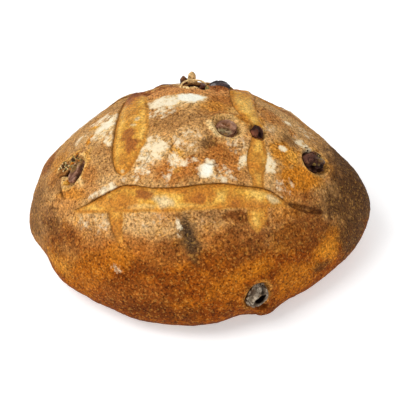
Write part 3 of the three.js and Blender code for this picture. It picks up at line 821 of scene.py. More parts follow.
OLIVES: tuple[OliveSeat, ...] = (
    OliveSeat(
        "olive_left", -80.2, 37.9, (10, 5.6, 5.8), 121, 2.2, 1.4, Look.MAUVE,
        hollows=(
            Hollow((0.3, -0.85, 0.45), 0.4, 0.5, 0.9), Hollow((-0.3, 0.0, 0.95), 0.16, 0.3, 0.4),
            Hollow((-0.75, -0.1, 0.65), 0.12, 0.3, 0.3),
        ),
        stains_and_light=(
            StainAndLight((-0.5, -0.15, 0.85), 0.75, (150, 112, 62), 1.6),
            StainAndLight((0.62, 0.45, 0.6), 0.42, (166, 124, 104)),
            # this and the next: painted shade along the olive's shaded side
            StainAndLight((0.29, 0.9, 0.33), 0.34, (56, 36, 24), 0.9),
            StainAndLight((-0.5, 0.8, 0.35), 0.34, (56, 36, 24), 0.9),
        ),
        rim_offset=4.0,
        paleness=0.7,
    ),
    OliveSeat(
        "olive_upper", 20, 16.6, (7.5, 6.6, 4.8), 25, 1.4, 1.5, Look.MAUVE,
        hollows=(
            Hollow((-0.38, -0.12, 0.91), 0.3, 0.27, 0.25, 0.14),
            Hollow((0.0, -0.18, 0.97), 0.3, 0.27, 0.25, 0.14),
            Hollow((-0.19, -0.15, 0.95), 0.3, 0.24, 0.25), Hollow((0.14, -0.9, 0.42), 0.3, 0.55, 0.0),
        ),
        stains_and_light=(
            StainAndLight((-0.2, 0.3, 0.93), 1.3, (186, 136, 106), 0.7),
            StainAndLight((-0.4, -0.14, 0.9), 0.26, (140, 86, 46), 1.2),
            StainAndLight((0.0, -0.18, 0.97), 0.28, (140, 86, 46), 1.2),
            StainAndLight((0.14, -0.9, 0.45), 0.6, (146, 132, 92), 1.0),
            StainAndLight((-0.45, -0.8, 0.4), 0.3, (146, 132, 92), 1.0),
            # this and the next two: a painted shadow line under the lip below the hollows
            StainAndLight((-0.55, -0.66, 0.5), 0.17, (80, 48, 24), 1.0),
            StainAndLight((-0.2, -0.66, 0.7), 0.15, (80, 48, 24), 1.0),
            StainAndLight((0.2, -0.62, 0.76), 0.15, (80, 48, 24), 1.0),
            StainAndLight((0.49, -0.81, 0.33), 0.12, (24, 18, 12), 1.0),
            StainAndLight((-0.13, -0.92, 0.36), 0.09, (34, 24, 16), 1.0),
            StainAndLight((0.1, -0.8, 0.6), 0.08, (34, 24, 16), 1.0),
        ),
        rim_offset=4.2,
        paleness=0.5,
    ),
    OliveSeat(
        "olive_slash", 39.2, 16.4, (7, 5, 4.6), 75, 1.6, 0.7, Look.MAROON,
        hollows=(Hollow((0.55, 0.1, 0.83), 0.16, 0.4, 0.6),),
        cuts=(Cut((0.25, 1, 0), 0.66), Cut((1, 0, 0), 0.88), Cut((-0.8, -0.6, 0), 0.7)),
        stains_and_light=(
            StainAndLight((0.35, -0.72, 0.6), 0.5, (142, 84, 58)), StainAndLight((0.5, 0.25, 0.82), 0.5, (46, 20, 14), 1.0),
        ),
        rim_offset=1.4,
        paleness=0.4,
    ),
    OliveSeat(
        "olive_right", 77.4, 28.6, (10.2, 8.4, 6.5), -10, 1.6, 1.2, Look.DARK,
        hollows=(
            Hollow((-0.35, -0.76, 0.54), 0.12, 0.26, 0.6), Hollow((0.2, -0.82, 0.52), 0.14, 0.3, 0.75),
            Hollow((-0.05, -0.2, 0.96), 0.1, 0.2, 0.3), Hollow((0.5, -0.4, 0.76), 0.1, 0.22, 0.5),
        ),
        stains_and_light=(
            StainAndLight((0.15, 0.1, 0.98), 0.34, (128, 100, 56), 0.9),
            StainAndLight((0.5, 0.1, 0.85), 0.3, (96, 76, 50), 0.9),
            # painted highlight on the olive's upper lobe
            StainAndLight((-0.72, 0.1, 0.68), 0.5, (116, 76, 64), 0.7),
            StainAndLight((-0.35, -0.5, 0.8), 0.14, (140, 118, 50), 1.0),
            StainAndLight((0.05, -0.46, 0.88), 0.13, (140, 118, 50), 0.8),
            StainAndLight((-0.2, 0.35, 0.91), 0.3, (110, 72, 60), 0.6),
        ),
        ridges=2.2,
        paleness=0.25,
    ),
    OliveSeat(
        "olive_front", 38.4, 127, (8.8, 7, 6), -45, 1.4, 1.2, Look.ASH,
        hollows=(
            Hollow((-0.28, 0.0, 0.95), 0.26, 0.36, 1.5, 0.05),
            Hollow((-0.05, -0.14, 0.98), 0.3, 0.42, 1.5, 0.05),
            Hollow((0.16, -0.28, 0.94), 0.26, 0.36, 1.5, 0.05), Hollow((0.3, 0.66, 0.67), 0.14, 0.26, 0.5),
            Hollow((0.1, 0.5, 0.85), 0.1, 0.2, 0.4), Hollow((0.5, 0.2, 0.8), 0.12, 0.2, 0.4),
        ),
        stains_and_light=(
            StainAndLight((0.7, 0.62, 0.3), 0.55, (66, 58, 50), 1.0),
            StainAndLight((0.12, 0.24, 0.96), 0.16, (176, 142, 98)),
            StainAndLight((-0.5, 0.5, 0.7), 0.4, (116, 104, 84), 0.8),
            StainAndLight((0.0, 0.95, 0.2), 0.3, (84, 60, 40), 0.9),
        ),
        ridges=1.9,
        paleness=0.3,
    ),
    OliveSeat(
        "olive_crest", 16.8, -42.5, (8.8, 6, 5.6), 5, 1.6, 0.6, Look.GLOSSY,
        paleness=0.1,
        stains_and_light=(
            # painted highlight: a grey-white reflection on the olive's glossy skin
            StainAndLight((-0.62, -0.65, 0.44), 0.3, (176, 172, 170), 0.8),
            StainAndLight((0.2, -0.5, 0.84), 0.4, (88, 62, 66), 0.5),
        ),
    ),
    OliveSeat(
        "olive_crest_chip", 4.4, -35.5, (5.4, 2.4, 3.8), 85, 0.8, 0.2, Look.MAROON,
        paleness=0.1,
        cuts=(Cut((0, 0, 1), 0.7), Cut((0, 1, 0.2), 0.7)),
    ),
    OliveSeat(
        "olive_crest_sliver", -9.2, -51, (3.6, 2.4, 4.4), 60, -0.6, 0.2, Look.MAROON,
        paleness=0.1,
        stains_and_light=(
            StainAndLight((0.6, -0.4, 0.6), 0.9, (146, 98, 56), 0.9), StainAndLight((0.2, -0.95, 0.1), 0.4, (62, 36, 24)),
        ),
    ),
    OliveSeat(
        "olive_back_left", -46, -104, (9, 7, 6), -40, 2, 1.3, Look.DARK,
        paleness=0.5,
        hollows=(Hollow((0.5, 0.1, 0.86), 0.25, 0.3),),
        ridges=1.4,
    ),
    OliveSeat(
        "olive_back_right", 64, -101, (8.6, 6.6, 6), 30, 2, 1.2, Look.MAUVE,
        hollows=(Hollow((-0.3, 0.3, 0.9), 0.22, 0.35, 0.3, 0.08),),
        stains_and_light=(StainAndLight((-0.3, -0.6, 0.7), 0.5, (146, 132, 92)),),
    ),
)

SLOT = Hole(70.3, 74.6, (11.8, 2.0), 18, depth=2.6, dark=0.2, edge=2.0)
# in each hole, dark is painted shade inside it; at 1.5 the inside is painted near black
HOLES: tuple[Hole, ...] = (
    SLOT,
    Hole(-1.8, -44, (7.6, 6), 0, depth=5, dark=1.5),
    Hole(41.5, 136.5, (4.4, 2.4), 15, depth=3, dark=0.6),
    Hole(-88, 27, (5, 9.5), 15, depth=2.6, dark=0.3),
    Hole(-87.4, 34.6, (4.3, 4.6), 0, depth=4, dark=1.5),
    Hole(-89.2, 56, (6.5, 1.1), 78, depth=1.4, dark=0.8),
)

MOUNDS: tuple[Mound, ...] = (
    Mound(-42, -39, (12, 7), -15, height=2.2),
    Mound(-34, -46, (5, 10), 0, height=-2.6),
    Mound(-38, -62, (10, 13), 0, height=-2.4),
    Mound(16.5, -31.5, (9, 4.5), 0, height=3.0),
    Mound(-22, -44, (10, 8), 0, height=0.8),
    Mound(-14, -54, (6, 16), 0, height=-3.4),
    Mound(-3, -35, (12, 6), 0, height=-2.6),
    Mound(29, -54, (6, 16), 0, height=-3.6),
    Mound(51, -60, (15, 17), 0, height=-5.0),
    Mound(45, 145, (11, 7), 20, height=2.0),
    Mound(-101, 20, (9, 12), 0, height=1.2),
    Mound(33, 62.5, (3.2, 2.6), 0, height=0.8),
)

CRACKS: tuple[Crack, ...] = (
    Crack(((-12, 25), (-15, 31), (-17, 34))),
    Crack(((-11, 33), (-7, 34), (-4, 37))),
    Crack(((-29, 36), (-32, 42), (-35, 47)), 0.5),
    Crack(((-17, 38), (-13, 44), (-12, 50)), 0.5, 0.6),
    Crack(((3, 44), (9, 46), (13, 44))),
    Crack(((11, 45), (14, 49), (12, 54))),
    Crack(((2, 52), (1, 57)), 0.5),
    Crack(((25, 32), (31, 30.5)), 0.6),
    Crack(((22, 25), (23, 33)), 0.5, 0.6),
    Crack(((-34, -16), (-33, -9)), 0.8),
    Crack(((-52, 112), (-47, 115), (-40, 117)), 0.5),
    Crack(((-64, 42), (-60, 42), (-56, 46)), 0.5, 0.6),
    Crack(((-100, 60), (-97, 70), (-92, 76)), 0.6, 0.6),
    Crack(((60, -4), (64, 2), (63, 8)), 0.6, 0.6),
    Crack(((40.5, -38), (40, -20), (41.5, -2)), 0.6, 0.7),
)


# the floury lip of the front slash is split into a comb of short cracks
COMB_TEETH = 11
COMB_START = (-66.7, 63.4)
COMB_STEP = (2.2, -1.12)
COMB_SLANT = (1.8, 4.0)


def comb_crack(tooth: int) -> Crack:
    """Make one crack of the comb, counted from the left."""
    x, g = (start + step * tooth for start, step in zip(COMB_START, COMB_STEP))
    return Crack(((x, g), (x + COMB_SLANT[0], g + COMB_SLANT[1])), width=0.4, depth=0.3)


COMB: tuple[Crack, ...] = tuple(comb_crack(tooth) for tooth in range(COMB_TEETH))


def patches(tone: Tone, rows: Rows, layer: Layer = Layer.CRUST) -> list[Patch]:
    """Make patches of one colour.

    Args:
        tone: The colour they lay.
        rows: For each, x, g, the two half sizes, the strength and, where it is turned, the turn.
        layer: Which skin they lie on.

    Returns:
        The patches.
    """
    return [
        Patch(x, g, (long, wide), *turn, tone=tone, strength=strength, layer=layer)
        for x, g, long, wide, strength, *turn in rows
    ]


PATCHES: list[Patch] = [
    *patches(Tone.GREY_TAN, (
        (-16, 10, 20, 9, 0.75), (5, 30, 10, 8, 0.7), (-72, 16, 16, 10, 0.5), (-62, 34, 8, 12, 0.4),
        (-90, -10, 14, 26, 0.5), (55, -25, 16, 16, 0.1), (80, -20, 10, 22, 0.4), (64, 18, 9, 8, 0.6),
        (54, 48, 5, 6, 0.5), (-104, 90, 10, 22, 0.7), (-108, 108, 9, 34, 0.6), (-88, 112, 12, 10, 0.55),
        (-95, 97, 8, 8, 0.5), (-68, 93, 9, 7, 0.4), (-18, 99, 10, 8, 0.3), (-30, -80, 22, 12, 0.6),
        (36, -96, 26, 14, 0.5), (-70, -70, 16, 16, 0.5),
    )),
    *patches(Tone.DUSTY, (
        (-66, 84, 12, 9, 0.5), (-30, 84, 18, 9, 0.55), (8, 82, 8, 6, 0.3), (-60, 56, 14, 5, 0.7, -25),
        (-65, 0, 14, 16, 0.6, 10), (-12, -12, 24, 9, 0.6), (-27, 40, 12, 16, 0.6), (-6, 28, 10, 10, 0.5),
        (27, 28, 8, 10, 0.7), (48, 42, 6, 12, 0.6, -15), (52, 60, 10, 10, 0.65, 20),
        (70, 14, 7, 12, 0.6, -35), (48, 11, 5, 8, 0.7), (12, 50, 12, 8, 0.6), (66, -14, 10, 14, 0.6),
        (57, -30, 12, 10, 0.5), (62, 23, 6, 6, 0.5), (-76, -10, 10, 20, 0.5, 15), (52, 96, 9, 7, 0.35, 20),
        (59, 76, 7, 6, 0.8), (-20, -96, 24, 10, 0.5), (70, -58, 16, 10, 0.5),
    )),
    *patches(Tone.RUST, (
        (-14, 49, 15, 8, 0.8), (14, -12, 10, 14, 0.75), (18, 42, 13, 11, 0.75, 15), (2, 42, 6, 4, 0.5),
        (-14, -26, 20, 6, 0.8), (-70, 44, 6, 8, 0.5), (-86, 70, 10, 12, 0.4), (-70, 98, 22, 9, 0.5),
        (-28, 99, 22, 8, 0.6), (24, 90, 16, 10, 0.4), (66, 88, 16, 12, 0.5), (50, 78, 10, 8, 0.4),
        (64, 58, 14, 14, 0.7), (52, -10, 12, 10, 0.5), (12, 34, 5, 3, 0.5), (64, 2, 3, 6, 0.5),
        (-96, 30, 8, 12, 0.45), (20, -76, 22, 10, 0.6), (-50, -90, 16, 12, 0.6),
    )),
    *patches(Tone.AMBER, (
        (-82, 124, 20, 17, 0.4), (90, 108, 10, 18, 0.95), (60, 96, 12, 9, 0.5), (64, 126, 14, 12, 0.6),
        (68, 50, 14, 11, 0.8), (58, 30, 9, 10, 0.75), (-67, -25, 6, 13, 0.85), (-72, 5, 2, 6, 0.9, 12),
        (-50, 104, 9, 8, 0.55), (32, 111, 10, 6, 0.5), (20, 119, 12, 7, 0.4), (-64, 113, 10, 9, 0.4),
        (10, -4, 6, 6, 0.3), (8, 112, 24, 8, 0.15), (42, 111, 8, 5, 0.5), (88, 28, 6, 12, 0.7),
        (-82, 60, 12, 6, 0.5, 20), (33, 5, 9, 8, 0.8), (-12, 36, 5, 9, 0.5, 20), (-96, 0, 6, 24, 0.4, -8),
        (-10, 128, 12, 6, 0.45), (60, -64, 20, 12, 0.5), (-30, -116, 22, 12, 0.5),
    )),
    *patches(Tone.OCHRE, (
        (36, 5, 6, 6, 0.6), (15, -2, 14, 6, 0.3), (76, 13, 7, 6, 0.3), (-12, 43, 4, 8, 0.6, 10),
        (88, 113, 5, 9, 0.2), (62, 31, 4, 6, 0.5), (-68, -17, 4, 7, 0.6), (-74, 34, 4, 16, 0.6, 10),
        (-90, 126, 8, 8, 0.4),
    )),
    *patches(Tone.MAROON, (
        (-99, 84, 6, 10, 0.5), (40, 90, 5, 7, 0.3), (-106, -36, 5, 26, 0.6), (-90, 20, 4, 6, 0.4, 30),
        (70, 74, 12, 4, 0.3, 12),
    )),
    *patches(Tone.BURNT, (
        # (27, 78.8) here and (24, 86) below darken the crust just under the front slash's lower edge:
        # painted shade under its step
        (27, 78.8, 14, 3.4, 0.75, 3), (-16, 118, 10, 7, 0.4), (-92, 111, 8, 10, 0.35),
        (-46, 134, 12, 5, 0.5), (-40, 124, 22, 8, 0.5), (-28, 133, 34, 6, 0.7), (24, 86, 8, 4, 0.3),
        (0, 148, 80, 7, 0.7), (-32, 108, 10, 5, 0.35), (72, 92, 20, 14, 0.6), (-88, 95, 12, 9, 0.5, 20),
        (40, 93, 10, 9, 0.35), (24, 91, 10, 6, 0.3), (33, 98, 11, 6, 0.35), (-76, 108, 14, 8, 0.2),
        (74, 68, 8, 9, 0.5), (-94, 44, 6, 16, 0.3), (14, 105, 16, 7, 0.2), (-16, 98, 9, 7, 0.4),
    )),
    *patches(Tone.CHAR, (
        (112, -20, 20, 50, 0.9), (108, 110, 13, 34, 0.9), (94, 74, 12, 12, 0.8), (60, 15, 6, 6, 0.45),
        (-97, 88, 7, 16, 0.4), (7, 31, 5, 4, 0.6), (82, 127, 6, 5, 0.6), (-112, 60, 10, 40, 0.4),
        (-112, 112, 8, 14, 0.4),
    )),
    *patches(Tone.SOOT, ((120, 60, 14, 40, 0.5),)),
    *patches(Tone.TOAST, (
        (-12, -30, 36, 10, 0.9), (-40, -36, 10, 5, 0.4),
    )),
    *patches(Tone.MAROON, (
        (-37, -34, 7, 5, 0.9), (16, -35, 9, 6, 0.85), (-24, -47, 10, 5, 1.0), (36, -62, 8, 8, 0.5),
        (58, -48, 14, 6, 0.4, 25),
    )),
    *patches(Tone.CREAM, (
        (-13, -12, 17, 7, 0.7), (-60, -5, 8, 14, 0.7, 8), (-27, 34, 10, 8, 0.5, -10), (7, 50, 5, 5, 0.8),
        (30, 42, 2.5, 6, 0.7, 15), (46, 42, 3.5, 6, 0.7, -10), (56, 27, 3, 2, 0.8), (-57, 17, 3, 6, 0.6),
    )),
    Patch(114, 40, (25, 62), tone=Tone.CHAR, softness=0.55),
    Patch(-5, 89, (5, 11), -22, tone=Tone.SOOT, strength=1.0, softness=0.8),
    Patch(-1, 98, (4, 5), -10, tone=Tone.SOOT, strength=0.4, softness=0.9),
    # colours of the bare dough that the slashes opened
    *patches(Tone.PALE_GOLD, (
        (-34, 0, 3, 22, 0.6), (-52, 20, 2.5, 24, 0.4), (-70, 73, 8, 3, 0.5, -20), (-4, 73, 14, 2, 0.7),
        (38, 66, 4, 6, 0.8), (27, -15, 3, 7, 0.7), (32, -15, 6, 9, 0.5), (36, -6, 5, 8, 0.5),
        (31, -3, 5, 4, 0.8), (36, 83, 3, 4, 0.6), (38, 30, 3, 5, 0.4), (38, 54, 4, 4, 0.4),
        (33, 62, 2.6, 2.2, 0.5),
    ), Layer.BELLY),
    *patches(Tone.BROWN_GOLD, (
        (-44, -8, 5, 16, 0.5), (-44, 40, 5, 8, 0.5), (-58, 70, 7, 4.5, 0.6), (-46, 68, 7, 6, 0.7),
        (2, 66, 8, 5, 0.75), (23, 70, 9, 4.5, 0.7), (30, -24, 5, 8, 0.25), (38, 42, 3, 7, 0.5),
        (36, 72, 5, 4, 0.6), (-50, 86, 3, 9, 0.6), (-70, 77, 6, 1.6, 0.3), (-12, 63, 8, 2, 0.5),
        (0, -40, 40, 8, 0.5),
    ), Layer.BELLY),
    *patches(Tone.RED_GOLD, (
        (-44, 17, 4.4, 5.5, 0.75), (-41.5, 28, 4, 6, 0.85), (-33, 65, 5, 4, 0.8, 10), (2, 68, 4, 3, 0.4),
        (24, 72, 4, 3, 0.5), (-44, -30, 7, 9, 0.8),
    ), Layer.BELLY),
    *patches(Tone.GREY_CREAM, (
        (-20, 70, 7, 5, 0.85, 15), (48, 68, 5, 3.6, 0.8, 25), (-39, 4, 1.8, 2.2, 0.9, 40),
        (-41, 9.5, 2.4, 1.2, 0.8, 20), (-47, 48, 1.2, 1.2, 0.9), (-33, 73, 8, 2, 0.4),
    ), Layer.BELLY),
    *patches(Tone.BURNT, ((40, 76, 8, 7, 0.15), (8, 76, 9, 7, 0.2))),
    *patches(Tone.MAROON, ((-44, -42, 12, 8, 0.85, 15), (-40, -34, 8, 4, 0.5, 15)), Layer.BELLY),
    *patches(Tone.MAROON, ((-43, -43, 9, 4, 0.7, 20), (-50, -46, 5, 4, 0.5), (-22, -36, 9, 3, 0.55))),
    *patches(Tone.RUST, (
        (-60, 129, 20, 8, 0.4), (-30, 120, 12, 7, 0.35), (-69, 59, 8, 7, 0.4), (-17, 76, 10, 7, 0.35),
        (9, 2, 9, 6, 0.3),
    )),
    *patches(Tone.AMBER, ((88, 114, 9, 9, 0.4), (59, 75, 9, 7, 0.3))),
    *patches(Tone.GREY_TAN, ((-98, 77, 8, 9, 0.35), (-68, 91, 8, 7, 0.3), (-82, 108, 8, 8, 0.35))),
    *patches(Tone.DUSTY, ((36, -8, 8, 5, 0.35), (-30, 34, 8, 8, 0.35))),
]

# pale crescents of torn skin beside the olives
PALE_RIMS: tuple[Patch, ...] = (
    Patch(11.6, 20.5, (8, 3), 56, tone=Tone.CREAM, strength=0.8),
    Patch(-76.6, 46, (2.2, 9), -18, tone=Tone.CREAM, strength=0.6),
    Patch(-84, 14.5, (8, 1.8), -22, tone=Tone.OCHRE, strength=0.7),
    Patch(-93, 23, (1.6, 8), 10, tone=Tone.STRAW, strength=0.6),
    Patch(18.6, 4.4, (9, 1.2), -8, tone=Tone.RUST, strength=0.6),
)

# x, g, the two half sizes, how thickly the flour lies and, where it is turned, the turn
FLOUR: Rows = (
    (-21, -11, 14, 8, 0.9), (-5.5, -14, 7.4, 6, 1.9, 10), (-26, 1, 10, 6, 0.5), (-67, -28, 6, 9, 0.75, 10),
    (-14, 43, 5, 6, 0.6), (-6, 44, 7, 3, 0.5, -20), (-18, 52, 4, 7, 0.35, 30), (-60, -8, 8, 14, 0.95, 8),
    (-67, 3, 7, 6, 0.55), (-57, 16, 4, 8, 0.5), (-80, -10, 5, 12, 0.45, 20), (-27, 33, 10, 8, 0.72, -10),
    (-36, 36, 6, 8, 0.5), (-34, 45, 6, 12, 0.6, 25), (6.5, 50, 5.5, 5.5, 1.3), (17, 52, 8, 6, 0.45),
    (30, 42, 3, 7, 0.7, 15), (46, 41, 4, 8, 0.7, -12), (-6, 27, 8, 8, 0.45), (-57.5, 60, 13, 3, 0.6, -27),
    (-66, 84, 12, 8, 0.3), (-30, 82, 18, 8, 0.22), (9, 82, 8, 5, 0.16, 20), (56, 27, 3.4, 2.4, 0.8),
    (70, 14, 5, 10, 0.55, -35), (48, 11, 4, 7, 0.35), (54, 60, 8, 9, 0.35, 30), (63, -13, 4, 7, 0.5),
    (76, -20, 8, 16, 0.3), (-11, 85, 2, 6, 0.5, -15), (50, 96, 8, 5, 0.15, 20), (-51, 111, 4, 3, 0.5, 20),
    (26, 30, 8, 8, 0.3), (-10, -78, 28, 10, 0.6, 8), (50, -108, 18, 10, 0.5, -20),
    (-84, -64, 16, 10, 0.5, 30), (74, -60, 12, 8, 0.5), (-34, -12, 3, 9, 0.5),
)


# ------------------------------------ finishes
class Graph:
    """A material's node graph, written as plain sums."""

    def __init__(self, name: str) -> None:
        """Start a material with its shader.

        Args:
            name: The material's name.
        """
        self.material = bpy.data.materials.new(name)
        self.material.use_nodes = True
        self.tree = self.material.node_tree
        self.tree.nodes.clear()
        self.shader = self.tree.nodes.new("ShaderNodeBsdfPrincipled")
        output = self.tree.nodes.new("ShaderNodeOutputMaterial")
        self.tree.links.new(self.shader.outputs["BSDF"], output.inputs["Surface"])
        self.place = self.tree.nodes.new("ShaderNodeTexCoord").outputs["Object"]

    def put(self, socket: Socket, value: object) -> None:
        """Link a socket to a node's output, or set its value.

        Args:
            socket: The socket.
            value: The output, or the value.
        """
        if isinstance(value, Socket):
            self.tree.links.new(value, socket)
        else:
            socket.default_value = value

    def set(self, **values: object) -> None:
        """Put values on the shader's sockets, named with underscores for spaces."""
        for name, value in values.items():
            self.put(self.shader.inputs[name.replace("_", " ")], value)

    def attribute(self, name: str, output: str = "Fac") -> Socket:
        """Read a vertex attribute.

        Args:
            name: Its name.
            output: Which of its outputs is read.

        Returns:
            What it holds.
        """
        node = self.tree.nodes.new("ShaderNodeAttribute")
        node.attribute_name = name
        return node.outputs[output]

    def noise(self, size: float, detail: float = 2.0, rough: float = 0.6, seed: float = 0.0) -> Socket:
        """Read noise, stretched to run from 0 to 1.

        Args:
            size: Size of its lumps in millimetres.
            detail: How many finer layers it has.
            rough: How strong the finer layers are.
            seed: Which noise.

        Returns:
            The noise.
        """
        node = self.tree.nodes.new("ShaderNodeTexNoise")
        node.noise_dimensions = "4D"
        self.tree.links.new(self.place, node.inputs["Vector"])
        node.inputs["Scale"].default_value = 1 / (size * MM)
        node.inputs["Detail"].default_value = detail
        node.inputs["Roughness"].default_value = rough
        node.inputs["W"].default_value = seed
        return self.ramp(node.outputs["Fac"], 0.32, 0.68)

    def math(self, operation: str, a: object, b: object = 0.0, c: object = 0.0) -> Socket:
        """Do one sum on numbers.

        Args:
            operation: Which sum.
            a: The first number.
            b: The second number.
            c: The third number, where the sum has one.

        Returns:
            What it comes to.
        """
        node = self.tree.nodes.new("ShaderNodeMath")
        node.operation = operation
        for socket, value in zip(node.inputs, (a, b, c)):
            self.put(socket, value)
        return node.outputs[0]

    def ramp(
        self, value: object, low: float, high: float, out_low: object = 0.0, out_high: object = 1.0
    ) -> Socket:
        """Rise evenly between two values.

        Args:
            value: The number read.
            low: Where the rise starts.
            high: Where the rise ends.
            out_low: What it gives at and below low.
            out_high: What it gives at and above high.

        Returns:
            The mapped number.
        """
        node = self.tree.nodes.new("ShaderNodeMapRange")
        names = ("Value", "From Min", "From Max", "To Min", "To Max")
        for name, entry in zip(names, (value, low, high, out_low, out_high)):
            self.put(node.inputs[name], entry)
        return node.outputs["Result"]

    def mix(self, part: object, a: object, b: object, blend: str = "MIX") -> Socket:
        """Mix two colours.

        Args:
            part: How much of the second, from 0 to 1.
            a: The first colour.
            b: The second colour.
            blend: How they mix.

        Returns:
            The mixed colour.
        """
        node = self.tree.nodes.new("ShaderNodeMix")
        node.data_type = "RGBA"
        node.blend_type = blend
        sockets = [socket for socket in node.inputs if socket.enabled]
        for socket, value in zip(sockets, (part, a, b)):
            self.put(socket, value)
        return next(socket for socket in node.outputs if socket.enabled)

    def gain(self, colour: object, factor: object) -> Socket:
        """Multiply a colour by a number.

        Args:
            colour: The colour.
            factor: The number.

        Returns:
            The product.
        """
        node = self.tree.nodes.new("ShaderNodeVectorMath")
        node.operation = "SCALE"
        self.put(node.inputs[0], colour)
        self.put(node.inputs["Scale"], factor)
        return node.outputs[0]

    def bump(self, height: object, rise: float, strength: float = 1.0, over: object = None) -> Socket:
        """Raise the surface by a pattern.

        Args:
            height: The pattern.
            rise: How high a pattern value of 1 stands, in millimetres.
            strength: How much of it shows.
            over: A normal that it is laid over.

        Returns:
            The new normal.
        """
        node = self.tree.nodes.new("ShaderNodeBump")
        node.inputs["Strength"].default_value = strength
        node.inputs["Distance"].default_value = rise * MM
        self.put(node.inputs["Height"], height)
        if over is not None:
            self.put(node.inputs["Normal"], over)
        return node.outputs["Normal"]


@dataclass(frozen=True)
class CrustFinish:
    """Baked crust: dry and finely speckled, floury where the masks say, and smoother on the bellies."""

    name: str = "crust"
    flour: Tint = (246, 225, 186)
    thick_flour: Tint = (255, 250, 230)
    # colour of scorch, and of the painted shade under the lips, round the olives and in the holes
    scorch: Tint = Tone.SCORCH_AND_SHADE.value
    # painted black shadow deep in the holes
    hole_shadow: Tint = (14, 9, 6)
    pore: tuple[float, float, float, float] = (0.46, 0.34, 0.2, 1.0)
    speck: Tint = (240, 180, 84)
    speck_gain: float = 1.4
    speck_part: float = 0.22
    clump_size: float = 5.0
    grain_size: float = 1.3
    pebble_size: float = 2.2
    pore_size: float = 1.9
    speck_size: float = 1.5
    dust_size: float = 0.9
    flake_size: float = 3.4

    def build(self) -> Material:
        """Build the material.

        Returns:
            The material, which reads the tone and the masks on the crust's vertices.
        """
        graph = Graph(self.name)
        clump = graph.noise(self.clump_size, 3.0)
        grain = graph.noise(self.grain_size, 2.0, 0.6, 1.0)
        pebbles = graph.noise(self.pebble_size, 4.0, 0.7, 2.0)
        pores = graph.ramp(graph.noise(self.pore_size, 1.0, 0.5, 3.0), 0.28, 0.04)
        specks = graph.ramp(graph.noise(self.speck_size, 1.0, 0.5, 4.0), 0.7, 0.9)
        belly = graph.attribute(Mask.BELLY.value)
        toned = graph.gain(graph.attribute("tone", "Color"), graph.ramp(clump, 0.0, 1.0, 0.88, 1.12))
        baked = self._speckled(graph, toned, grain, pores, specks)
        colour = self._scorched_and_shaded(graph, self._floured(graph, baked))
        rough = graph.ramp(grain, 0.0, 1.0, 0.66, 0.86)
        rough = graph.math("SUBTRACT", rough, graph.math("MULTIPLY", belly, 0.2))
        normal = graph.bump(clump, 0.7, 0.5)
        normal = graph.bump(pebbles, 0.7, 0.7, normal)
        normal = graph.bump(graph.math("SUBTRACT", specks, pores), 0.2, 0.7, normal)
        graph.set(Base_Color=colour, Roughness=rough, Normal=normal)
        graph.set(Specular_IOR_Level=graph.math("MULTIPLY_ADD", belly, 0.1, 0.06))
        return graph.material

    def _speckled(
        self, graph: Graph, toned: Socket, grain: Socket, pores: Socket, specks: Socket
    ) -> Socket:
        """Speckle the painted tone with dark pores and light specks, more on skin than on the bellies.

        Args:
            graph: The material's graph.
            toned: The painted tone.
            grain: Fine noise that swings its brightness.
            pores: Where pores are.
            specks: Where specks are.

        Returns:
            The speckled colour.
        """
        skin = graph.math("SUBTRACT", 1.0, graph.attribute(Mask.BELLY.value))

        def more_on_skin(bare: float, more: float) -> Socket:
            """Give a number that is larger on skin than on the bellies."""
            return graph.math("MULTIPLY_ADD", skin, more, bare)

        swing = graph.math("MULTIPLY", graph.math("SUBTRACT", grain, 0.5), more_on_skin(0.8, 0.35))
        colour = graph.gain(toned, graph.math("ADD", swing, 1.0))
        dark = graph.mix(1.0, colour, self.pore, "MULTIPLY")
        colour = graph.mix(graph.math("MULTIPLY", pores, more_on_skin(0.3, 0.55)), colour, dark)
        light = graph.mix(self.speck_part, graph.gain(colour, self.speck_gain), seen(*self.speck))
        return graph.mix(graph.math("MULTIPLY", specks, more_on_skin(0.35, 0.5)), colour, light)

    def _floured(self, graph: Graph, baked: Socket) -> Socket:
        """Lay flour over the baked colour, in flakes and dust, whiter where it lies thick.

        Args:
            graph: The material's graph.
            baked: The baked colour.

        Returns:
            The floured colour.
        """
        lying = graph.attribute(Mask.FLOUR.value)
        flakes = graph.noise(self.flake_size, 2.0, 0.5, 6.0)
        dust = graph.noise(self.dust_size, 2.0, 0.7, 5.0)
        patchy = graph.math("MULTIPLY_ADD", graph.math("SUBTRACT", flakes, 0.5), 0.9, -0.06)
        patchy = graph.math("MULTIPLY_ADD", graph.math("SUBTRACT", dust, 0.5), 0.42, patchy)
        patchy = graph.math("MULTIPLY", patchy, graph.ramp(lying, 0.0, 0.4))
        powder = graph.mix(graph.ramp(lying, 0.7, 1.3), seen(*self.flour), seen(*self.thick_flour))
        return graph.mix(graph.ramp(graph.math("ADD", lying, patchy), 0.22, 0.8), baked, powder)

    def _scorched_and_shaded(self, graph: Graph, colour: Socket) -> Socket:
        """Darken the colour by the scorch-and-shade mask: scorch, and painted shade under the slashes' lips,
        round the olives and in the holes, to a painted black shadow in the deepest holes.

        Args:
            graph: The material's graph.
            colour: The colour so far.

        Returns:
            The scorched colour.
        """
        scorched = graph.attribute(Mask.SCORCH_AND_SHADE.value)
        colour = graph.mix(scorched, colour, seen(*self.scorch))
        # painted shade: near black where the mask passes 1, deep in the holes
        return graph.mix(graph.ramp(scorched, 1.0, 1.4), colour, seen(*self.hole_shadow))


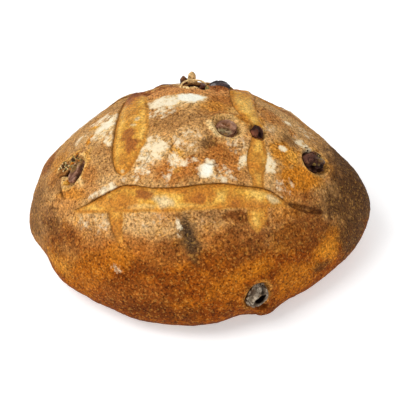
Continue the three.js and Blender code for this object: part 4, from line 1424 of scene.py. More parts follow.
@dataclass(frozen=True)
class OliveFinish:
    """Skin of a baked olive: darker in the grooves between its ridges, lighter on them, and with a pale
    bloom where it stands highest.
    """

    name: str
    skin: Tint
    deep: Tint
    bloom: Tint
    bloom_part: float = 0.4
    roughness: float = 0.45
    coat: float = 0.0
    shine: float = 0.1
    # painted shade, near black, in the hollows and the stone's dent
    pit_shade: Tint = (9, 5, 4)
    clump_size: float = 3.6
    grain_size: float = 1.0
    dot_size: float = 1.3

    def build(self) -> Material:
        """Build the material.

        Returns:
            The material, which reads the ridges, and the painted shade of the pits, on the olive's vertices.
        """
        graph = Graph(self.name)
        clump = graph.noise(self.clump_size, 3.0)
        grain = graph.noise(self.grain_size, 3.0, 0.7, 1.0)
        dots = graph.ramp(graph.noise(self.dot_size, 1.0, 0.5, 3.0), 0.2, 0.02)
        pit_shade = graph.attribute("pit_shade")
        high = graph.math("MULTIPLY_ADD", clump, 0.3, graph.math("MULTIPLY", graph.attribute("ridge"), 0.5))
        high = graph.math("MULTIPLY_ADD", grain, 0.35, high)
        bloom = graph.ramp(high, 0.95 - self.bloom_part, 1.25 - self.bloom_part)
        tone = graph.attribute("tone", "Color")
        colour = graph.mix(graph.math("MULTIPLY", bloom, 0.7), tone, seen(*self.bloom))
        colour = graph.gain(colour, graph.ramp(grain, 0.0, 1.0, 0.72, 1.28))
        colour = graph.mix(graph.math("MULTIPLY", dots, 0.7), colour, seen(*self.deep))
        # painted shade in the hollows and the stone's dent
        colour = graph.mix(pit_shade, colour, seen(*self.pit_shade))
        rough = graph.ramp(grain, 0.0, 1.0, self.roughness - 0.1, self.roughness + 0.15)
        normal = graph.bump(grain, 0.3, 0.6, graph.bump(clump, 0.8, 0.6))
        graph.set(Base_Color=colour, Roughness=rough, Normal=normal)
        graph.set(Coat_Weight=self.coat, Coat_Roughness=0.25)
        graph.set(Specular_IOR_Level=graph.ramp(pit_shade, 0.0, 0.8, self.shine, 0.0))
        return graph.material


OLIVE_FINISHES: dict[Look, OliveFinish] = {
    Look.MAUVE: OliveFinish("olive_mauve", (152, 104, 80), (78, 48, 34), (190, 152, 124), 0.36),
    Look.MAROON: OliveFinish("olive_maroon", (108, 54, 34), (44, 20, 12), (134, 84, 60), 0.2, 0.38),
    Look.DARK: OliveFinish("olive_dark", (92, 52, 34), (36, 18, 11), (142, 100, 66), 0.24, 0.4),
    Look.ASH: OliveFinish("olive_ash", (144, 124, 102), (74, 60, 46), (190, 174, 152), 0.4),
    Look.GLOSSY: OliveFinish(
        "olive_glossy", (62, 40, 38), (26, 15, 14), (116, 100, 96), 0.2, 0.3, coat=0.12, shine=0.3
    ),
}


# ------------------------------------ making pieces
def finish_piece(name: str, builder: Builder, material: Material) -> Piece:
    """Make a piece from a finished bmesh and give it its material.

    Args:
        name: The piece's name.
        builder: Its mesh, which is freed.
        material: Its material.

    Returns:
        The piece, which rides on the loaf's body.
    """
    mesh = bpy.data.meshes.new(name)
    builder.to_mesh(mesh)
    builder.free()
    mesh.shade_smooth()
    mesh.materials.append(material)
    piece = bpy.data.objects.new(name, mesh)
    bpy.context.scene.collection.objects.link(piece)
    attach(piece, "root")
    return piece


def report(piece: Piece) -> None:
    """Log a finished piece and how many faces it has."""
    LOG.info("%s: %d faces", piece.name, len(piece.data.polygons))


def read_vertices(mesh: Mesh) -> Array:
    """Read a mesh's vertices.

    Args:
        mesh: The mesh.

    Returns:
        Its vertices in its own units, one row each.
    """
    flat = np.empty(len(mesh.vertices) * 3)
    mesh.vertices.foreach_get("co", flat)
    return flat.reshape(-1, 3)


def write_vertices(mesh: Mesh, points: Array) -> None:
    """Write a mesh's vertices, given in millimetres, one row each."""
    mesh.vertices.foreach_set("co", (points * MM).astype(np.float32).ravel())
    mesh.update()


def write_number(mesh: Mesh, name: str, values: Array) -> None:
    """Write a number on each vertex."""
    attribute = mesh.attributes.new(name, "FLOAT", "POINT")
    attribute.data.foreach_set("value", values.astype(np.float32))


def write_tone(mesh: Mesh, colours: Array) -> None:
    """Write a colour on each vertex.

    Args:
        mesh: The mesh.
        colours: Seen colours, from 0 to 1, one row each.
    """
    attribute = mesh.attributes.new("tone", "FLOAT_COLOR", "POINT")
    linear = np.concatenate([in_light(np.clip(colours, 0, 1)), np.ones((len(colours), 1))], axis=1)
    attribute.data.foreach_set("color", linear.astype(np.float32).ravel())


class Paint:
    """Seen colours of a mesh's vertices, laid one over another."""

    def __init__(self, count: int, ground: Tone) -> None:
        """Start with one colour all over.

        Args:
            count: How many vertices there are.
            ground: The colour.
        """
        self.colours = np.tile(np.array(ground.value) / 255.0, (count, 1))

    def lay(self, tone: Tone, weight: Array) -> None:
        """Lay a colour over what is there, by its weight on each vertex."""
        part = np.clip(weight, 0, 1)[:, None]
        self.colours += (np.array(tone.value) / 255.0 - self.colours) * part


# ------------------------------------ the loaf
class Crust:
    """The crust's points, with the relief and the marks worked out for each of them."""

    def __init__(self, form: DoughForm, directions: Array) -> None:
        """Start with the smooth form, unmarked.

        Args:
            form: The dough's form.
            directions: Unit directions, one row each.
        """
        self.form = form
        self.points = form.points(directions)
        self.normals = form.normals(directions)
        self.x, self.g = form.places(self.points)
        self.height = np.zeros(len(self.points))
        self.shift = np.zeros_like(self.points)
        self.marks = {kind: np.zeros(len(self.points)) for kind in (*Mask, *Mark)}

    def mark(self, kind: Mask | Mark, values: Array) -> None:
        """Mark the points, each as much as it is marked the most."""
        self.marks[kind] = np.maximum(self.marks[kind], values)

    def surface(self) -> Array:
        """Give the finished crust's points, down to its flat base."""
        return self.form.flatten_foot(self.points + self.normals * self.height[:, None] + self.shift)


@dataclass
class Baking:
    """The colours that baking gives a crust, and the flour that lies on it."""

    crust: Crust
    cloud_grain: Grain = Grain(24.0, 31, 3)
    mottle_grain: Grain = Grain(7.0, 32, 3)
    blotch_grain: Grain = Grain(4.2, 37, 3)
    fray_grains: tuple[Grain, ...] = (Grain(9.0, 33, 2, 0.22), Grain(2.6, 34, 1, 0.28))
    drift_grains: tuple[Grain, ...] = (Grain(13.0, 35, 3, 4.0), Grain(13.0, 36, 3, 4.0))
    drifting_size: float = 9.0
    rim_drift: float = 0.3
    base_flour: float = 0.5
    base_flour_height: float = 7.0

    def __post_init__(self) -> None:
        """Read the noises that the colours follow."""
        points = self.crust.points
        self.cloud = self.cloud_grain.at(points)
        self.mottle = self.mottle_grain.at(points)
        self.blotch = self.blotch_grain.at(points)
        self.fray = sum(grain.at(points) for grain in self.fray_grains)
        self.drift = [grain.at(points) for grain in self.drift_grains]

    def cover(self, patch: Patch, drift: float | None = None) -> Array:
        """Give how much of its colour a patch lays, with its outline frayed and adrift.

        Args:
            patch: The patch.
            drift: What part of the full drift it takes. Without it, smaller patches drift less.

        Returns:
            The weight at each point of the crust.
        """
        part = min(1.0, min(patch.half) / self.drifting_size) if drift is None else drift
        x, g = self.crust.x + part * self.drift[0], self.crust.g + part * self.drift[1]
        return patch.weight(x, g, self.fray)

    def skin(self) -> Paint:
        """Bake the skin: grey and rusty in clouds, dark and blotched low down, and grey at one end.

        Returns:
            Its colours, before any patch.
        """
        paint = Paint(len(self.cloud), Tone.TAN)
        paint.lay(Tone.GREY_TAN, 0.45 * smoothstep(-0.1, 0.5, self.cloud))
        paint.lay(Tone.RUST, 0.45 * smoothstep(0.0, 0.6, -self.cloud + 0.5 * self.mottle))
        girth = np.abs(self.crust.g) + 10 * self.cloud + 5 * self.mottle
        lowest = smoothstep(90, 110, girth)
        paint.lay(Tone.CHESTNUT, smoothstep(84, 108, girth))
        paint.lay(Tone.AMBER, 0.4 * lowest * smoothstep(0.1, 0.6, self.mottle))
        paint.lay(Tone.BURNT, 0.5 * lowest * smoothstep(0.1, 0.7, -self.mottle))
        lower = smoothstep(64, 88, girth)
        paint.lay(Tone.AMBER, 0.5 * lower * smoothstep(0.15, 0.6, self.blotch))
        paint.lay(Tone.BURNT, 0.4 * lower * smoothstep(0.15, 0.6, -self.blotch))
        paint.lay(Tone.GREY_TAN, 0.8 * smoothstep(92, 112, -self.crust.x + 6 * self.cloud))
        return paint

    def dough(self) -> Paint:
        """Bake the bare dough that the slashes opened, paler and browner in blotches.

        Returns:
            Its colours, before any patch.
        """
        paint = Paint(len(self.cloud), Tone.GOLD)
        for tone, sign in ((Tone.PALE_GOLD, 1), (Tone.BROWN_GOLD, -1)):
            mottled = 0.7 * smoothstep(0.05, 0.6, sign * self.mottle)
            paint.lay(tone, mottled + 0.5 * smoothstep(0.2, 0.7, sign * self.blotch))
        return paint

    def colours(self) -> Array:
        """Bake the skin and the bare dough with their patches, the torn rims and the baked edges.

        Returns:
            The seen colours, from 0 to 1.
        """
        marks = self.crust.marks
        skin, dough = self.skin(), self.dough()
        layers = {Layer.CRUST: skin, Layer.BELLY: dough}
        for patch in PATCHES:
            layers[patch.layer].lay(patch.tone, self.cover(patch))
        dough.lay(Tone.BROWN_GOLD, 0.6 * marks[Mark.EDGE])
        skin.lay(Tone.STRAW, 0.75 * marks[Mark.RIM])
        skin.lay(Tone.CREAM, 0.5 * marks[Mark.RIM] * smoothstep(-0.3, 0.4, self.mottle))
        skin.lay(Tone.RUST, 0.5 * marks[Mark.BAKED])
        for patch in PALE_RIMS:
            skin.lay(patch.tone, self.cover(patch, self.rim_drift))
        return skin.colours + (dough.colours - skin.colours) * marks[Mask.BELLY][:, None]

    def flour(self) -> Array:
        """Leave flour on the skin, and a little all round the base.

        Returns:
            How thickly it lies.
        """
        thickness = np.zeros(len(self.cloud))
        for x, g, long, wide, thick, *turn in FLOUR:
            dust = Patch(x, g, (long, wide), *turn, strength=thick, softness=0.6)
            thickness = np.maximum(thickness, self.cover(dust))
        height = self.crust.points[:, 2] + 2 * self.cloud
        base = 1 - smoothstep(0.0, self.base_flour_height, height)
        return np.maximum(thickness * (1 - self.crust.marks[Mask.BELLY]), self.base_flour * base)


@dataclass
class Loaf:
    """The loaf's crumb and crust: a sphere of directions laid on the dough's form with all its relief."""

    form: DoughForm
    sphere_levels: int = 7
    gather: float = 0.38
    gather_towards: Way = (0.0, -0.35, 0.94)
    wave_count: int = 9
    wave_long: float = 95.0
    wave_short: float = 34.0
    wave_height: float = 0.25
    ragged: Grain = Grain(7.0, 41, 4, 0.5)
    torn: Grain = Grain(4.0, 91, 2, 1.2)
    blisters: Grain = Grain(6.0, 61, 3, 0.35)
    pebbles: Grain = Grain(2.2, 71, 1, 0.2)
    pocks: Grain = Grain(3.8, 81)
    pock_depth: float = 0.6
    belly_smoothness: float = 0.7
    crack_wander: Grain = Grain(4.0, 51, 1, 1.2)
    crack_gaps: Grain = Grain(3.2, 52)
    crack_scorch: float = 0.5
    # how dark the gap round each olive is painted, as painted shade
    olive_gap_shade: float = 0.6
    fine_past_lip: float = 3.5
    fine_past_flush: float = 2.0
    fine_past_olive: float = 6.0
    fine_past_crack: float = 2.5
    fine_hole_part: float = 1.6
    fine_above: float = -0.2

    def gathered(self, directions: Array) -> Array:
        """Gather directions towards the side that shows most relief."""
        return unit(unit(directions) + self.gather * unit(np.array([self.gather_towards])))

    def wants_detail(self, directions: Array) -> Array:
        """Tell which directions meet torn crust, which takes smaller faces.

        Args:
            directions: Unit directions, one row each.

        Returns:
            True for each that does.
        """
        points = self.form.points(directions)
        x, g = self.form.places(points)
        wanted = np.zeros(len(directions), dtype=bool)
        for slash in SLASHES:
            where = slash.place(x, g, np.zeros(len(directions)))
            past_edges = (where.from_lip > -self.fine_past_lip) & (where.from_flush > -self.fine_past_flush)
            wanted |= past_edges & (where.opening > 0.02)
        for olive in OLIVES:
            wanted |= olive.beyond(self.form, points) < self.fine_past_olive
        for hole in HOLES:
            wanted |= hole.distance(x, g) < self.fine_hole_part
        for crack in CRACKS + COMB:
            wanted |= crack.distance(x, g) < self.fine_past_crack
        return wanted & (directions[:, 2] > self.fine_above)

    def sphere(self) -> Builder:
        """Build the sphere of directions, with smaller faces on torn crust.

        Returns:
            The sphere, with a radius of one.
        """
        builder = bmesh.new()
        bmesh.ops.create_icosphere(builder, subdivisions=self.sphere_levels, radius=1.0)
        directions = self.gathered(np.array([vertex.co[:] for vertex in builder.verts]))
        wanted = self.wants_detail(directions)
        for vertex, direction in zip(builder.verts, directions):
            vertex.co = direction
        edges = [edge for edge in builder.edges if all(wanted[end.index] for end in edge.verts)]
        bmesh.ops.subdivide_edges(builder, edges=edges, cuts=1, use_grid_fill=True)
        bmesh.ops.triangulate(builder, faces=[face for face in builder.faces if len(face.verts) > 3])
        return builder

    def waves(self, points: Array) -> Array:
        """Add up the low waves that run all over the crust, each with its own heading and length.

        Args:
            points: The form's points.

        Returns:
            Their height.
        """
        height = np.zeros(len(points))
        for i in range(self.wave_count):
            rise = 1 - 2 * (i + 0.5) / self.wave_count
            reach = math.sqrt(1 - rise * rise)
            heading = np.array([reach * math.cos(i * GOLDEN_TURN), reach * math.sin(i * GOLDEN_TURN), rise])
            length = self.wave_long + (self.wave_short - self.wave_long) * i / (self.wave_count - 1)
            height += self.wave_height * np.sin(2 * math.pi * (points @ heading) / length + i * 1.7)
        return height

    def build(self, finish: CrustFinish) -> Piece:
        """Build the loaf.

        Args:
            finish: The crust's finish.

        Returns:
            The loaf's piece.
        """
        piece = finish_piece("loaf_crust", self.sphere(), finish.build())
        crust = Crust(self.form, unit(read_vertices(piece.data)))
        crust.height += self.waves(crust.points)
        self._open_slashes(crust)
        self._tear_rims(crust)
        self._blister_and_tear(crust)
        self._crack(crust)
        self._roughen(crust)
        baking = Baking(crust)
        crust.mark(Mask.FLOUR, baking.flour())
        write_vertices(piece.data, crust.surface())
        write_tone(piece.data, baking.colours())
        for mask in Mask:
            write_number(piece.data, mask.value, crust.marks[mask])
        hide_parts("loaf")
        report(piece)
        return piece

    def _open_slashes(self, crust: Crust) -> None:
        """Open the slashes, and mark their bare dough, its edges and the dark line under each lip, which is
        painted shade with some scorch.

        Args:
            crust: The crust.
        """
        turn = crust.g / self.form.girth_radius
        round_girth = np.stack([np.zeros(len(turn)), -np.cos(turn), -np.sin(turn)], axis=1)
        ways = {Run.ALONG_LOAF: round_girth, Run.ROUND_LOAF: np.array([[1.0, 0.0, 0.0]])}
        ragged = self.ragged.at(crust.points)
        for slash in SLASHES:
            LOG.info("slash: %s", slash.name)
            where = slash.place(crust.x, crust.g, ragged)
            clear = 1.0 if slash.run is Run.ALONG_LOAF else 1 - crust.marks[Mask.BELLY]
            crust.height += slash.relief(where) * clear
            outward = np.sum(ways[slash.run] * crust.normals, axis=1, keepdims=True)
            way = ways[slash.run] - crust.normals * outward
            crust.shift += way * (slash.shift(where) * clear)[:, None]
            inside = slash.inside(where)
            crust.mark(Mask.BELLY, inside)
            rind = bell(where.from_lip, 1.6, 1.8) + bell(where.from_flush, 0.8, 1.6)
            crust.mark(Mark.EDGE, clear * inside * np.minimum(rind, 1))
            # the dark line under the lip: painted shade, with some scorch
            crust.mark(Mask.SCORCH_AND_SHADE, slash.shadow(where) * clear)

    def _tear_rims(self, crust: Crust) -> None:
        """Tear rims and bowls round the olives, mark the pale skin and the baked line round it, and paint
        shade into the gap round each olive.

        Args:
            crust: The crust.
        """
        torn = self.torn.at(crust.points)
        for olive in OLIVES:
            beyond = olive.beyond(self.form, crust.points)
            crust.height += olive.relief(beyond)
            pale = smoothstep(olive.rim_offset + 1.2, olive.rim_offset - 0.6, beyond + torn)
            baked = bell(beyond + torn, olive.rim_offset + 1.4, 0.9)
            crust.mark(Mark.RIM, pale * olive.paleness)
            crust.mark(Mark.BAKED, baked * olive.paleness)
            # painted shade in the gap round each olive
            crust.mark(Mask.SCORCH_AND_SHADE, self.olive_gap_shade * (1 - smoothstep(-0.6, 0.6, beyond)))

    def _blister_and_tear(self, crust: Crust) -> None:
        """Raise the blisters and ridges, and tear the holes.

        Args:
            crust: The crust.
        """
        for mound in MOUNDS:
            crust.height += mound.relief(crust.x, crust.g)
        for hole in HOLES:
            crust.height += hole.relief(crust.x, crust.g)
            crust.mark(Mask.SCORCH_AND_SHADE, hole.scorch(crust.x, crust.g))

    def _crack(self, crust: Crust) -> None:
        """Crack the crust along wandering lines that stop and start.

        Args:
            crust: The crust.
        """
        wander = self.crack_wander.at(crust.points)
        kept = 1 - smoothstep(0.1, 0.5, self.crack_gaps.at(crust.points))
        for crack in CRACKS + COMB:
            distance = crack.distance(crust.x + wander, crust.g - wander)
            line = kept * (1 - smoothstep(crack.width * 0.3, crack.width * 1.1, distance))
            crust.height -= crack.depth * line
            crust.mark(Mask.SCORCH_AND_SHADE, self.crack_scorch * line)

    def _roughen(self, crust: Crust) -> None:
        """Cover the crust with small blisters, pebbles and pocks, less on the bare dough.

        Args:
            crust: The crust.
        """
        skin = 1 - self.belly_smoothness * crust.marks[Mask.BELLY]
        crust.height += skin * self.blisters.at(crust.points)
        crust.height += skin * self.pebbles.at(crust.points)
        crust.height -= skin * self.pock_depth * smoothstep(0.5, 0.85, self.pocks.at(crust.points))


# ------------------------------------ olives and torn crumb
@dataclass
class Olive:
    """One baked olive, wrinkled lengthwise, with the hollows that its seat names."""

    seat: OliveSeat
    form: DoughForm
    levels: int = 5
    wrinkle_count: int = 7
    wrinkle_depth: float = 0.055
    stone_dent: float = 0.22
    dent_height: float = 0.2
    dent_shade: float = 0.9
    pucker_size: float = 2.6
    pucker: float = 0.05
    crease_size: float = 3.2
    crease: float = 0.08
    lengthwise: tuple[float, float, float] = (0.5, 1.0, 1.0)
    first_pucker_seed: int = 90
    first_crease_seed: int = 120

    def build(self, material: Material, seed: int) -> Piece:
        """Build the olive.

        Args:
            material: The olive's material.
            seed: Which noise puckers its skin.

        Returns:
            The olive's piece.
        """
        seat = self.seat
        builder = bmesh.new()
        bmesh.ops.create_icosphere(builder, subdivisions=self.levels, radius=1.0)
        piece = finish_piece(f"{seat.name}_skin", builder, material)
        mesh = piece.data
        directions = unit(read_vertices(mesh))
        body = directions * np.array(seat.half)
        stretched = body * np.array(self.lengthwise)
        puckers = layered_lumps(stretched, self.pucker_size, self.first_pucker_seed + seed, 3)
        veins = np.abs(lumps(stretched, self.crease_size, self.first_crease_seed + seed))
        crease = smoothstep(0.6, 1.0, 1 - 2.2 * veins)
        wrinkle = self._wrinkles(directions)
        dent = np.exp(-((1 - directions[:, 0]) ** 2 + (directions[:, 2] - self.dent_height) ** 2) * 7)
        rough = wrinkle + self.pucker * puckers - self.crease * crease
        raised, pit_shade = self._hollows(directions, puckers)
        scale = 1 + seat.ridges * rough - self.stone_dent * dent + raised
        scale = self._cuts(directions, puckers, scale)
        ridge = np.clip(0.5 + 6 * wrinkle + 0.45 * puckers - 0.8 * crease, 0, 1)
        write_vertices(mesh, body * scale[:, None])
        write_number(mesh, "ridge", ridge)
        # painted shade in the stone's dent and the hollows
        write_number(mesh, "pit_shade", np.maximum(self.dent_shade * smoothstep(0.75, 0.97, dent), pit_shade))
        write_tone(mesh, self._colours(directions, puckers, ridge))
        placed = self.form.seat(seat.x, seat.g, seat.turn, -seat.sunk)
        placed.translation *= MM
        mesh.transform(placed)
        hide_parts(seat.name)
        report(piece)
        return piece

    def _wrinkles(self, directions: Array) -> Array:
        """Give the height of the wrinkles from end to end, in parts of the olive.

        Args:
            directions: Unit directions in the olive's own frame.

        Returns:
            The height in each.
        """
        around = np.arctan2(directions[:, 2], directions[:, 1])
        ends = 1 - directions[:, 0] ** 2
        phase = self.wrinkle_count * around + 2.2 * directions[:, 0] + self.seat.x
        return self.wrinkle_depth * ends * np.sin(phase)

    def _hollows(self, directions: Array, puckers: Array) -> tuple[Array, Array]:
        """Sink the hollows and lift the lips round them.

        Args:
            directions: Unit directions in the olive's own frame.
            puckers: Noise that their outlines follow.

        Returns:
            How far each point is raised, below zero in a hollow, and how dark it is painted, as painted
            shade in the hollow.
        """
        sunken, lips, pit_shade = (np.zeros(len(directions)) for _ in range(3))
        for hollow in self.seat.hollows:
            apart = self._apart(directions, hollow.facing, hollow.spread) + 0.18 * puckers
            sunken = np.maximum(sunken, hollow.depth * (1 - smoothstep(0.55, 1.1, apart)))
            lips = np.maximum(lips, hollow.lip * bell(apart, 1.25, 0.35))
            pit_shade = np.maximum(pit_shade, hollow.dark * (1 - smoothstep(0.7, 1.0, apart)))
        return lips * (1 - np.minimum(6 * sunken, 1)) - sunken, pit_shade

    def _cuts(self, directions: Array, puckers: Array, scale: Array) -> Array:
        """Cut the olive flat where its seat says.

        Args:
            directions: Unit directions in the olive's own frame.
            puckers: Noise that roughens the flats.
            scale: How far out the skin lies before the cuts, in parts of the olive.

        Returns:
            How far out it lies after them.
        """
        for cut in self.seat.cuts:
            towards = directions @ unit(np.array([cut.facing]))[0]
            scale = np.minimum(scale, cut.reach / np.maximum(towards, 0.05) + 0.05 * puckers)
        return scale

    def _colours(self, directions: Array, puckers: Array, ridge: Array) -> Array:
        """Colour the skin, darker between ridges, and lay the spots of colour on it, some of which are
        painted highlights and painted shade.

        Args:
            directions: Unit directions in the olive's own frame.
            puckers: Noise that the stains' outlines follow.
            ridge: How high each point lies on a ridge, from 0 to 1.

        Returns:
            The seen colours, from 0 to 1.
        """
        finish = OLIVE_FINISHES[self.seat.look]
        skin, deep = np.array(finish.skin) / 255.0, np.array(finish.deep) / 255.0
        colours = deep + (skin - deep) * ridge[:, None]
        for stain in self.seat.stains_and_light:
            apart = self._apart(directions, stain.facing, stain.spread) + 0.2 * puckers
            part = stain.strength * (1 - smoothstep(0.6, 1.2, apart)) * (0.6 + 0.4 * ridge)
            colours += (np.array(stain.colour) / 255.0 - colours) * np.minimum(part, 1.0)[:, None]
        return colours

    @staticmethod
    def _apart(directions: Array, facing: Way, spread: float) -> Array:
        """Give how far directions lie from a way, in parts of a spread."""
        return np.linalg.norm(directions - unit(np.array([facing]))[0], axis=1) / spread


def finish_crumb(
    name: str, builder: Builder, material: Material, grains: Sequence[Grain]
) -> tuple[Piece, Array]:
    """Make a crumpled piece of torn crumb from a finished bmesh.

    Args:
        name: The piece's name.
        builder: Its mesh in millimetres, which is freed.
        material: The crust's material.
        grains: The noise that pushes its vertices along each axis.

    Returns:
        The piece, bare of flour and scorch, and its vertices in millimetres.
    """
    piece = finish_piece(name, builder, material)
    points = read_vertices(piece.data)
    points = points + np.stack([grain.at(points) for grain in grains], axis=1)
    write_vertices(piece.data, points)
    for mask in Mask:
        write_number(piece.data, mask.value, np.zeros(len(points)))
    return piece, points


@dataclass(frozen=True)
class CrumbBed:
    """A place where torn bits of crumb stick to the crust, each sunk by a part of its radius."""

    x: float
    g: float
    half: tuple[float, float]
    count: int
    size: float
    tones: tuple[Tone, ...]
    sunk: float = 0.3


DARK_AND_PALE = (Tone.CREAM, Tone.SOOT, Tone.GREY_TAN, Tone.CREAM, Tone.CHAR, Tone.MOSS)
MOSSY = (Tone.MOSS, Tone.GREY_TAN, Tone.BROWN_GOLD, Tone.SOOT, Tone.MOSS)
MOSSY_DARK = (Tone.MOSS, Tone.GREY_TAN, Tone.SOOT, Tone.BROWN_GOLD)
GREYISH = (Tone.GREY_TAN, Tone.MOSS, Tone.CHAR, Tone.CREAM, Tone.SOOT)

CRUMB_BEDS: tuple[CrumbBed, ...] = (
    CrumbBed(-90, 20.5, (3.2, 5), 32, 0.75, DARK_AND_PALE),
    CrumbBed(-82, 27.5, (3, 5), 26, 1.1, MOSSY, 0.5),
    CrumbBed(-79, 22.5, (2.8, 4.4), 24, 0.9, MOSSY_DARK, 0.5),
    CrumbBed(-86.1, 47.2, (0.8, 1.4), 3, 1.7, (Tone.AMBER, Tone.OCHRE)),
    CrumbBed(80, 21, (5, 3.6), 30, 0.75, GREYISH, 0.5),
    CrumbBed(71, 18, (4, 3), 12, 0.6, (Tone.CREAM, Tone.DUSTY, Tone.SOOT), 0.5),
    CrumbBed(-4.5, -35.6, (8.0, 0.9), 13, 1.15, (Tone.CREAM, Tone.CREAM, Tone.DUSTY), 0.1),
    CrumbBed(7.4, -32.5, (0.8, 3.4), 5, 1.2, (Tone.OCHRE, Tone.MOSS)),
    CrumbBed(-57, -100, (4, 4), 14, 0.75, (Tone.CREAM, Tone.CHAR, Tone.MOSS)),
)


@dataclass
class TornCrumb:
    """Torn bits of crumb, seated on whatever lies outermost where they stick."""

    form: DoughForm
    beds: tuple[CrumbBed, ...] = CRUMB_BEDS
    crumpling: tuple[Grain, ...] = tuple(Grain(1.6, seed, 3, 0.3) for seed in (301, 302, 303))
    start_height: float = 20.0
    turn_step: float = 50.0

    def build(self, material: Material) -> Piece:
        """Build every bit in one piece.

        Args:
            material: The crust's material.

        Returns:
            The piece.
        """
        bpy.context.view_layer.update()
        builder = bmesh.new()
        tones: list[Tone] = []
        for bed in self.beds:
            for i in range(bed.count):
                made = bmesh.ops.create_icosphere(builder, subdivisions=3, radius=1.0)["verts"]
                bmesh.ops.transform(builder, matrix=self._bit(bed, i), verts=made)
                tones += [bed.tones[i % len(bed.tones)]] * len(made)
        piece, _ = finish_crumb("torn_crumb", builder, material, self.crumpling)
        write_tone(piece.data, np.array([tone.value for tone in tones]) / 255.0)
        report(piece)
        return piece

    def _bit(self, bed: CrumbBed, i: int) -> Matrix:
        """Size and place one bit of a bed, in a spiral out from its middle.

        Args:
            bed: The bed.
            i: Which bit.

        Returns:
            The matrix that makes a unit sphere the bit, in millimetres.
        """
        reach = math.sqrt((i + 0.5) / bed.count)
        x = bed.x + bed.half[0] * reach * math.cos(i * GOLDEN_TURN)
        g = bed.g + bed.half[1] * reach * math.sin(i * GOLDEN_TURN)
        size = bed.size * (0.7 + 0.6 * math.sin(7.3 * i) ** 2)
        half = (size * (1 + 0.4 * math.sin(3.1 * i)), size, size * (1 + 0.3 * math.cos(5.7 * i)))
        return self._on_surface(x, g, self.turn_step * i, -bed.sunk * size) @ Matrix.Diagonal((*half, 1.0))

    def _on_surface(self, x: float, g: float, turn: float, lift: float) -> Matrix:
        """Make the frame of a bit on the outermost surface at a place on the crust.

        Args:
            x: Place along the loaf, in millimetres.
            g: Place round the girth, in millimetres.
            turn: Turn of the bit, in degrees.
            lift: Height of its middle over the surface, in millimetres.

        Returns:
            The frame, in millimetres.
        """
        place = self.form.seat(x, g, turn, self.start_height)
        out = place.to_3x3().col[2]
        graph = bpy.context.evaluated_depsgraph_get()
        struck, spot, *_ = bpy.context.scene.ray_cast(graph, place.translation * MM, -out)
        if struck:
            place.translation = spot / MM + out * lift
        return place


@dataclass(frozen=True)
class Nub:
    """A nub of crumb: its place on the crust, its lift and half sizes, and its turn, in mm and degrees."""

    x: float
    g: float
    lift: float
    half: tuple[float, float, float]
    turn: float = 10.0


@dataclass
class CrestCrumb:
    """Torn crumb at the crest: a nub that stands up, and a thin strand across the cavity."""

    form: DoughForm
    nubs: tuple[Nub, ...] = (
        Nub(-3.4, -53, 3.6, (2.9, 2.6, 4.2)),
        Nub(-5, -52.5, 0.6, (5.6, 3.0, 2.8)),
    )
    strand_place: tuple[float, float] = (-2.2, -41.0)
    strand_span: float = 8.6
    strand_rise: float = 4.6
    strand_thickness: float = 0.9
    strand_sides: int = 10
    strand_steps: int = 18
    crumpling: tuple[Grain, ...] = tuple(Grain(2.6, seed, 3, 0.35) for seed in (201, 202, 203))
    cloud_grain: Grain = Grain(3.0, 204, 3)

    def build(self, material: Material) -> Piece:
        """Build the torn crumb.

        Args:
            material: The crust's material.

        Returns:
            The piece.
        """
        builder = bmesh.new()
        for nub in self.nubs:
            made = bmesh.ops.create_icosphere(builder, subdivisions=4, radius=1.0)["verts"]
            place = self.form.seat(nub.x, nub.g, nub.turn, nub.lift) @ Matrix.Diagonal((*nub.half, 1.0))
            bmesh.ops.transform(builder, matrix=place, verts=made)
        self._add_strand(builder)
        piece, points = finish_crumb("crest_crumb", builder, material, self.crumpling)
        cloud = self.cloud_grain.at(points)
        strand_middle = self.form.seat(*self.strand_place).translation.y
        strand = smoothstep(1.8, 0.9, np.abs(points[:, 1] - strand_middle))
        paint = Paint(len(points), Tone.DUSTY)
        paint.lay(Tone.MAROON, 0.8 * smoothstep(0.0, 0.5, cloud))
        paint.lay(Tone.CREAM, 0.7 * smoothstep(0.1, 0.6, -cloud))
        paint.lay(Tone.CREAM, 0.85 * strand * smoothstep(-0.6, 0.2, cloud))
        write_tone(piece.data, paint.colours)
        report(piece)
        return piece

    def _add_strand(self, builder: Builder) -> None:
        """Add the strand: a small ring spun through half a turn, squashed low and closed at its ends.

        Args:
            builder: The bmesh that it joins.
        """
        before = set(builder.verts)
        seat = self.form.seat(*self.strand_place, 0, -self.strand_thickness)
        squash = Matrix.Diagonal((1.0, 1.0, self.strand_rise / self.strand_span, 1.0))
        ring = bmesh.ops.create_circle(
            builder, cap_ends=False, segments=self.strand_sides, radius=self.strand_thickness,
            matrix=Matrix.Translation((self.strand_span, 0, 0)),
        )["verts"]
        edges = list(dict.fromkeys(edge for vertex in ring for edge in vertex.link_edges))
        bmesh.ops.spin(
            builder, geom=[*ring, *edges], cent=(0, 0, 0), axis=(0, -1, 0), angle=math.pi,
            steps=self.strand_steps, use_merge=False, use_duplicate=False,
        )
        vertices = [vertex for vertex in builder.verts if vertex not in before]
        bmesh.ops.transform(builder, matrix=seat @ squash, verts=vertices)
        bmesh.ops.holes_fill(builder, edges=[edge for edge in builder.edges if edge.is_boundary], sides=0)
        faces = list(dict.fromkeys(face for vertex in vertices for face in vertex.link_faces))
        bmesh.ops.recalc_face_normals(builder, faces=faces)


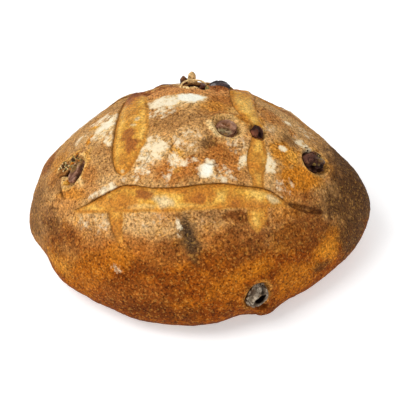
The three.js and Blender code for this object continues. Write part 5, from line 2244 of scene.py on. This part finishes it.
# ------------------------------------ studio
@dataclass(frozen=True)
class SoftLight:
    """A square soft light: where it hangs and its side, in metres, and its power in watts."""

    name: str
    place: Way
    side: float
    power: float

    def hang(self, towards: Way) -> None:
        """Hang it, facing a point.

        Args:
            towards: The point, in metres.
        """
        light = bpy.data.lights.new(self.name, "AREA")
        light.size = self.side
        light.energy = self.power
        holder = bpy.data.objects.new(self.name, light)
        holder.location = self.place
        holder.rotation_euler = (Vector(towards) - Vector(self.place)).to_track_quat("-Z", "Y").to_euler()
        bpy.context.scene.collection.objects.link(holder)


@dataclass
class Studio:
    """Pale floor, soft light and the camera."""

    camera_distance: float = 600.0
    camera_tilt: float = 40.0
    aim_height: float = 45.0
    lens: float = 76.5
    sensor: float = 36.0
    shift: tuple[float, float] = (0.008, -0.0448)
    floor_half: float = 4.0
    floor_noise: float = 60.0
    floor_glow: float = 0.35
    sky: float = 0.6
    lit_point: Way = (0.0, 0.0, 0.05)
    lights: tuple[SoftLight, ...] = (
        SoftLight("key", (-0.75, -0.35, 1.15), 0.8, 11.0),
        SoftLight("fill", (0.6, -1.3, 0.6), 1.2, 4.0),
    )

    def build(self) -> None:
        """Build the floor, the lights and the camera."""
        self._floor()
        for light in self.lights:
            light.hang(self.lit_point)
        world = bpy.data.worlds.new("studio")
        world.use_nodes = True
        background = world.node_tree.nodes["Background"]
        background.inputs["Color"].default_value = WHITE
        background.inputs["Strength"].default_value = self.sky
        bpy.context.scene.world = world
        bpy.context.scene.view_settings.view_transform = "Standard"
        self._camera()

    def _camera(self) -> None:
        """Aim the camera at the loaf."""
        camera = bpy.data.cameras.new("camera")
        camera.lens = self.lens
        camera.sensor_width = self.sensor
        camera.shift_x, camera.shift_y = self.shift
        tilt = math.radians(self.camera_tilt)
        aim = Vector((0.0, 0.0, self.aim_height)) * MM
        away = Vector((0.0, -math.cos(tilt), math.sin(tilt))) * self.camera_distance * MM
        holder = bpy.data.objects.new("camera", camera)
        holder.location = aim + away
        holder.rotation_euler = (-away).to_track_quat("-Z", "Y").to_euler()
        bpy.context.scene.collection.objects.link(holder)
        bpy.context.scene.camera = holder

    def _floor(self) -> None:
        """Lay the floor."""
        builder = bmesh.new()
        bmesh.ops.create_grid(builder, x_segments=1, y_segments=1, size=self.floor_half)
        mesh = bpy.data.meshes.new("floor")
        builder.to_mesh(mesh)
        builder.free()
        graph = Graph("floor")
        pale = graph.mix(graph.noise(self.floor_noise), seen(238, 238, 238), seen(244, 244, 244))
        graph.set(Base_Color=pale, Roughness=0.9, Emission_Color=WHITE, Emission_Strength=self.floor_glow)
        mesh.materials.append(graph.material)
        floor = bpy.data.objects.new("floor", mesh)
        bpy.context.scene.collection.objects.link(floor)


def main() -> None:
    """Build the loaf, its torn crumb, its olives and the studio, and report each piece."""
    logging.basicConfig(level=logging.INFO, format="%(name)s: %(message)s")
    form = DoughForm()
    loaf = Loaf(form).build(CrustFinish())
    crust = loaf.data.materials[0]
    CrestCrumb(form).build(crust)
    skins = {look: finish.build() for look, finish in OLIVE_FINISHES.items()}
    for seed, seat in enumerate(OLIVES):
        Olive(seat, form).build(skins[seat.look], seed)
    TornCrumb(form).build(crust)
    Studio().build()


if __name__ == "__main__":
    main()
